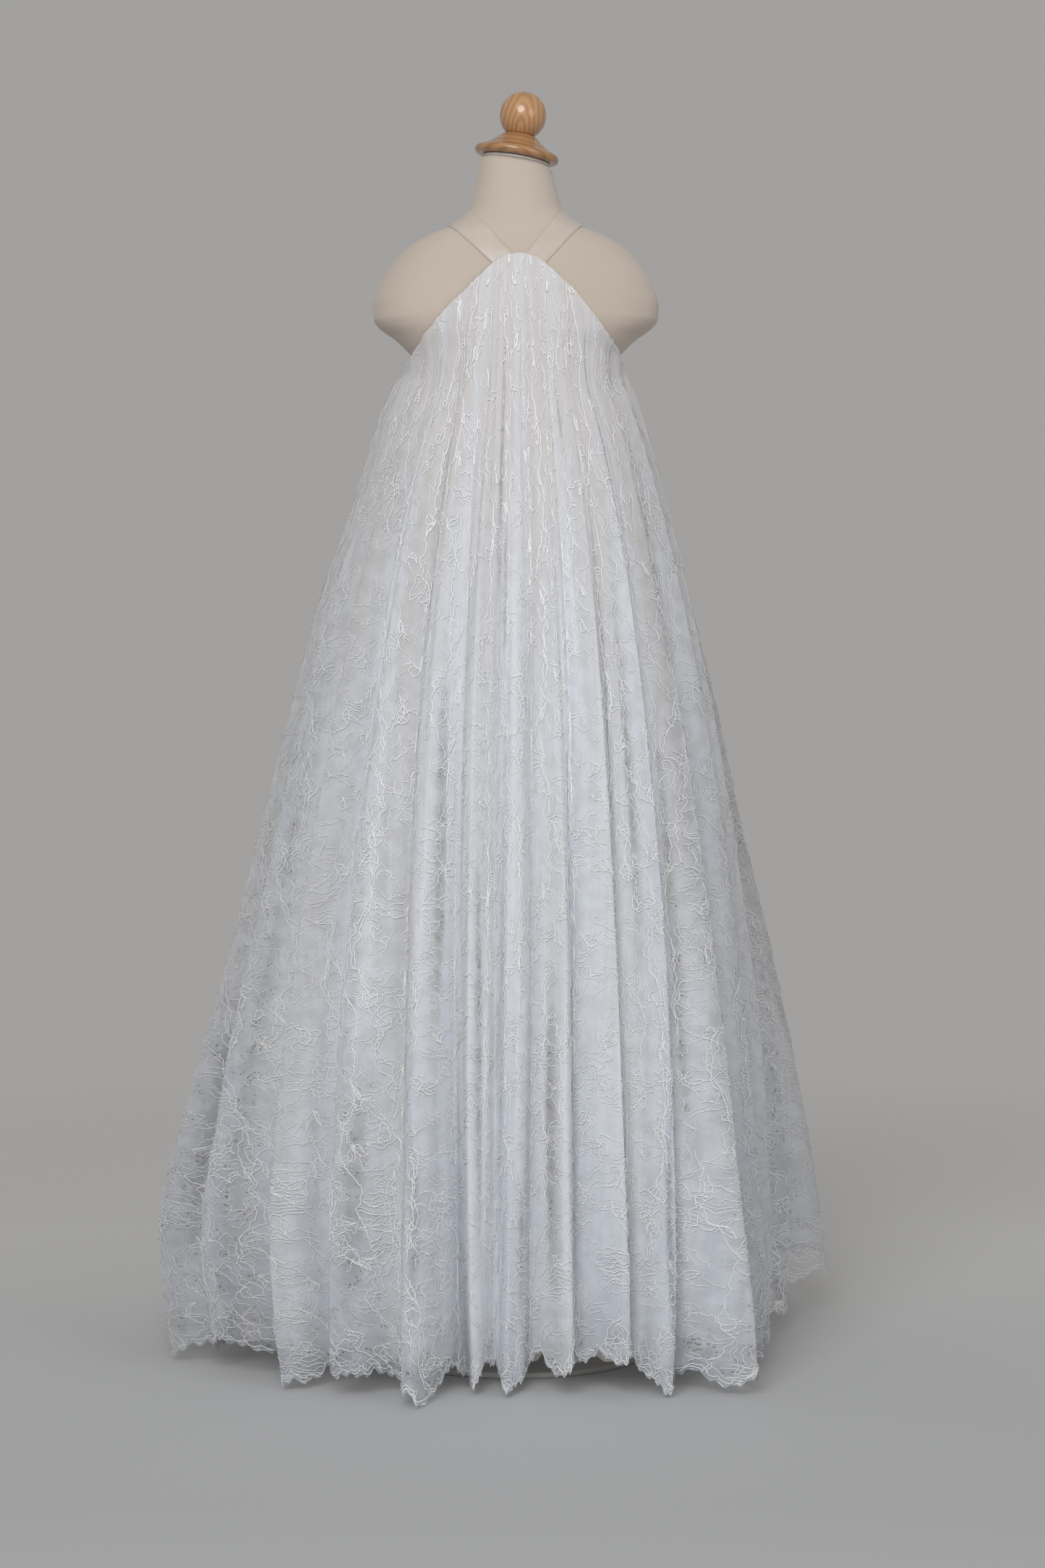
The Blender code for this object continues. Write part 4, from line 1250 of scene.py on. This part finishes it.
def round_grid(heights, steps):
    """Angle and height at each point of a grid that closes round the form, and its faces."""
    angle, z = np.meshgrid(np.arange(steps) * 2 * math.pi / steps, heights)
    return angle, z, capped(*angle.shape, grid_faces(*angle.shape, closed=True))


def make_torso(material):
    heights = np.unique(np.concatenate([np.linspace(FORM["z"][0], FORM["z"][-1], TORSO_ROWS), FORM["z"]]))
    angle, z, faces = round_grid(heights, TORSO_STEPS)
    return new_piece("form_cover", tilted(as_points(angle, form_radius(angle, z), z)), faces, material)


def on_neck(height):
    """Point on the neck's tilted axis, this far above the neck's top."""
    return (height * math.sin(NECK_TILT), 0, NECK_TOP_Z + height * math.cos(NECK_TILT))


def make_turned(name, profile, base, material):
    """Turned shape from a profile of radius and height, top to bottom, tilted with the neck."""
    profile = np.array(profile)
    angle, row, faces = round_grid(np.arange(len(profile)), TURNED_STEPS)
    radius, height = profile[row].transpose(2, 0, 1)
    points = as_points(angle, np.maximum(radius, 1e-5), height)
    obj = new_piece(name, points, [tuple(reversed(f)) for f in faces], material)
    obj.data.set_sharp_from_angle(angle=math.radians(50))
    obj.location = base
    obj.rotation_euler = (0, NECK_TILT, 0)
    return obj


def cap_profile():
    """Flared cap: flat seat for the knob, a hollow flare and a round lip over a flat underside."""
    seat = (CAP_NECK_RADIUS - 0.001, CAP_HEIGHT)
    points = [(0, CAP_HEIGHT), seat, (CAP_NECK_RADIUS, CAP_HEIGHT - 0.0006)]
    lip_radius = CAP_LIP / 2
    lip_centre = CAP_RADIUS - lip_radius
    for share in np.linspace(0.04, 0.92, 16):
        radius = CAP_NECK_RADIUS + (lip_centre - CAP_NECK_RADIUS) * share
        height = CAP_LIP + (CAP_HEIGHT - CAP_LIP) * (1 - share) ** CAP_FLARE_POWER
        points.append((radius, height))
    for turn in np.radians(np.linspace(82, -90, 16)):
        points.append((lip_centre + lip_radius * math.cos(turn), lip_radius * (1 + math.sin(turn))))
    points.append((0, 0))
    return points


def knob_profile():
    """Ball a little taller than wide, cut flat where it sits on the cap."""
    half = KNOB_HEIGHT / 2
    low = -math.acos(KNOB_SEAT_RADIUS / KNOB_RADIUS)
    bottom = half * (1 + math.sin(low))
    turns = np.linspace(math.pi / 2, low, 40)
    points = [(KNOB_RADIUS * math.cos(t), half * (1 + math.sin(t)) - bottom) for t in turns]
    return points + [(0, 0)]


def plate_profile():
    edge = 0.0006
    return [
        (0, PLATE_THICKNESS),
        (PLATE_RADIUS - edge, PLATE_THICKNESS),
        (PLATE_RADIUS, PLATE_THICKNESS - edge),
        (PLATE_RADIUS, edge),
        (PLATE_RADIUS - edge, 0),
        (0, 0),
    ]


# Straps


def height_on_line(end, shoulder, angle):
    """Height at which a straight line on the form, seen from the front, crosses a direction."""
    low, high = 0.0, 1.0
    sign = 1 if shoulder[0] < end[0] else -1
    for _ in range(40):
        share = (low + high) / 2
        x = end[0] + (shoulder[0] - end[0]) * share
        z = end[1] + (shoulder[1] - end[1]) * share
        outside = sign * (x - form_radius(angle, z) * math.cos(angle)) > 0
        low, high = (share, high) if outside else (low, share)
    return end[1] + (shoulder[1] - end[1]) * low


def strap_edge(edge, side_angle, nape_angle):
    """Directions and heights along one edge of a strap, from its lace end to the nape."""
    end = edge["end_x"], edge["end_z"]
    shoulder = edge["shoulder_x"], edge["shoulder_z"]
    end_angle = math.radians(float(form_angle(*end)))
    angles = np.linspace(end_angle, side_angle, STRAP_STEPS)
    heights = [height_on_line(end, shoulder, a) for a in angles]
    heights[0], heights[-1] = end[1], shoulder[1]
    share = np.linspace(0, 1, STRAP_STEPS)[1:]
    back_angles = side_angle + (nape_angle - side_angle) * share
    back_heights = shoulder[1] + (edge["nape_z"] - shoulder[1]) * ease(share)
    return np.concatenate([angles, back_angles]), np.concatenate([heights, back_heights])


def make_strap(name, rows, side_angle, nape_angle, material):
    """Satin strap as a band that swells between its thin edges, lying on the form."""
    edges = (dict(zip(STRAP_NAMES.split(), row)) for row in rows)
    outer, inner = (strap_edge(edge, side_angle, nape_angle) for edge in edges)
    share = np.linspace(0, 1, STRAP_ACROSS)[None]
    angle, z = (a[:, None] * (1 - share) + b[:, None] * share for a, b in zip(outer, inner))
    swell = STRAP_SWELL * np.sqrt(np.clip(1 - np.abs(2 * share - 1) ** 10, 0, 1))
    points = on_form(angle, z, STRAP_EDGE_OUT + swell)
    faces = grid_faces(*angle.shape)
    if side_angle > math.pi:
        faces = faces[:, ::-1]
    obj = new_piece(name, points, faces, material)
    steps = np.linalg.norm(np.diff(points[:, STRAP_ACROSS // 2], axis=0), axis=-1)
    along = np.concatenate([[0], np.cumsum(steps)])
    add_uv(obj, path(STRAP_CLOTH[0] * share, along[:, None]))
    return obj


# Stage, light and camera

FLOOR_RADIUS = 2.4
FLOOR_FADE = (0.36, 0.92)
FLOOR_PAINTED_LIGHT_AHEAD = 1.0
FLOOR_PAINTED_LIGHT_LENGTH = 3
# The floor's colour from front to back, lighter further back: painted light, making up for less lamp light
# there
FLOOR_PAINTED_LIGHT = (
    (0.13, (0.445, 0.452, 0.462)),
    (0.25, (0.490, 0.498, 0.508)),
    (0.33, (0.53, 0.538, 0.548)),
    (0.44, (0.60, 0.60, 0.60)),
    (0.56, (0.65, 0.65, 0.645)),
)
STUDIO_GREY = (0.362, 0.355, 0.346)
LIGHTS = (
    ("window", (-0.7, -3.6, 2.9), (0, 0, 0.8), 2.4, 97),
    ("bounce", (2.4, -2.6, 1.6), (0, 0, 0.7), 2.0, 17),
)


def make_stage():
    """Pale round floor, lighter towards the back as painted light, that fades at its rim into the plain
    studio.
    """
    shader = Shader("floor", (0.46, 0.46, 0.455), 0.95)
    place = shader.place()
    radius = shader.node("VectorMath", "Value", {0: place}, operation="LENGTH")
    depth = shader.node("SeparateXYZ", "Y", {"Vector": place})
    depth = shader.math("MULTIPLY", shader.math("ADD", depth, FLOOR_PAINTED_LIGHT_AHEAD), 1 / FLOOR_PAINTED_LIGHT_LENGTH)
    # Painted light: the floor is coloured lighter the further back it lies
    shader.set(Base_Color=shader.ramp(depth, FLOOR_PAINTED_LIGHT))
    fade = zip((FLOOR_FADE[0], sum(FLOOR_FADE) / 2, FLOOR_FADE[1]), (WHITE, (0.5,) * 3, BLACK))
    shader.set(Alpha=shader.ramp(shader.math("DIVIDE", radius, FLOOR_RADIUS), list(fade)))
    radii = np.linspace(0.02, FLOOR_RADIUS, FLOOR_ROWS)
    angle, radius = np.meshgrid(np.arange(FLOOR_STEPS) * 2 * math.pi / FLOOR_STEPS, radii)
    faces = [tuple(f) for f in grid_faces(*angle.shape, closed=True)] + [tuple(range(FLOOR_STEPS))]
    new_piece("floor", as_points(angle, radius, 0 * angle), faces, shader.material)


def area_light(name, place, aim, size, power):
    data = bpy.data.lights.new(name, "AREA")
    data.shape = "DISK"
    data.size = size
    data.energy = power
    light = new_object(name, data)
    light.location = place
    way = np.array(aim, float) - np.array(place, float)
    light.rotation_euler = (math.atan2(math.hypot(way[0], way[1]), -way[2]), 0, math.atan2(-way[0], way[1]))


def make_light():
    for light in LIGHTS:
        area_light(*light)
    world = bpy.data.worlds.new("studio")
    world.use_nodes = True
    background = world.node_tree.nodes["Background"]
    background.inputs["Color"].default_value = (*STUDIO_GREY, 1)
    background.inputs["Strength"].default_value = 1.0
    bpy.context.scene.world = world


def make_camera():
    data = bpy.data.cameras.new("camera")
    data.sensor_fit = "VERTICAL"
    data.sensor_height = 24
    data.lens = FOCAL_PIXELS / FRAME_HEIGHT_PIXELS * data.sensor_height
    camera = new_object("camera", data)
    camera.location = CAMERA_PLACE
    camera.rotation_euler = (math.pi / 2 - CAMERA_PITCH, 0, 0)
    bpy.context.scene.camera = camera


def enter(piece, node=None):
    """Enters a piece in the model: its body and the CAD node it stands for."""
    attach(piece, "root")
    if node:
        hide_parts(node)


def make_form(nodes):
    """The form's fine surfaces, and better materials on the CAD pieces that stay."""
    enter(make_torso(cover_material()), "form_torso")
    # The cap's wood is the knob's varnished wood made darker: the darker tone is painted shade on the cap
    cap_wood_painted_shade = wood_material("cap_wood_painted_shade", (22, 60, 60), (0.41, 0.21, 0.085), (0.31, 0.15, 0.058))
    knob_wood = wood_material("knob_wood", (70, 70, 24), (0.50, 0.27, 0.12), (0.39, 0.20, 0.085))
    turned = (
        ("plate_disc", "neck_plate", "plate_paint", plate_profile(), plate_material()),
        ("cap_turning", "neck_cap", "varnished_wood", cap_profile(), cap_wood_painted_shade),
        ("knob_turning", "neck_knob", "varnished_wood", knob_profile(), knob_wood),
    )
    height = 0
    for name, node, slot, profile, material in turned:
        height += FACE_GAP
        enter(make_turned(name, profile, on_neck(height), material), node)
        height += profile[0][1]
    nodes["stand_base"].material_slots[0].material = painted_material("base_paint", (0.44, 0.44, 0.43))
    nodes["stand_pole"].material_slots[0].material = steel_material()


def make_straps():
    satin, nape = satin_material(), math.pi / 2
    straps = (
        ("strap_left", STRAP_LEFT_ROWS, math.pi, nape + NAPE_HALF_GAP),
        ("strap_right", STRAP_RIGHT_ROWS, 2 * math.pi, 2 * math.pi + nape - NAPE_HALF_GAP),
    )
    for node, rows, side_angle, nape_angle in straps:
        strap = make_strap(f"satin_{node}", rows, side_angle, nape_angle, satin)
        enter(strap, node)


def make_panels():
    """Lining, net and cords of the front and the back."""
    lining, net, cords = lining_material(), lace_material(), cord_material()
    for side, (first, last) in PANELS.items():
        under = make_lining(side, lining)
        enter(under, f"lining_{side}")
        lace = make_lace(side, net)
        enter(lace, f"lace_{side}")
        trims = [
            make_threads("cords", side, lace_chart(first, last, first + 7).threads, cords),
            make_threads("wisps", side, wisp_chart(first, last, first + 8).threads, cords),
        ]
        for trim in trims:
            enter(trim)


def corners(bounds):
    return [[float(value) for value in corner] for corner in bounds]


def main():
    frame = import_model()
    bpy.context.scene.view_settings.view_transform = "Standard"
    bpy.context.scene.cycles.transparent_max_bounces = 24
    make_camera()
    make_light()
    make_stage()
    make_form(frame["nodes"])
    make_straps()
    make_panels()


main()
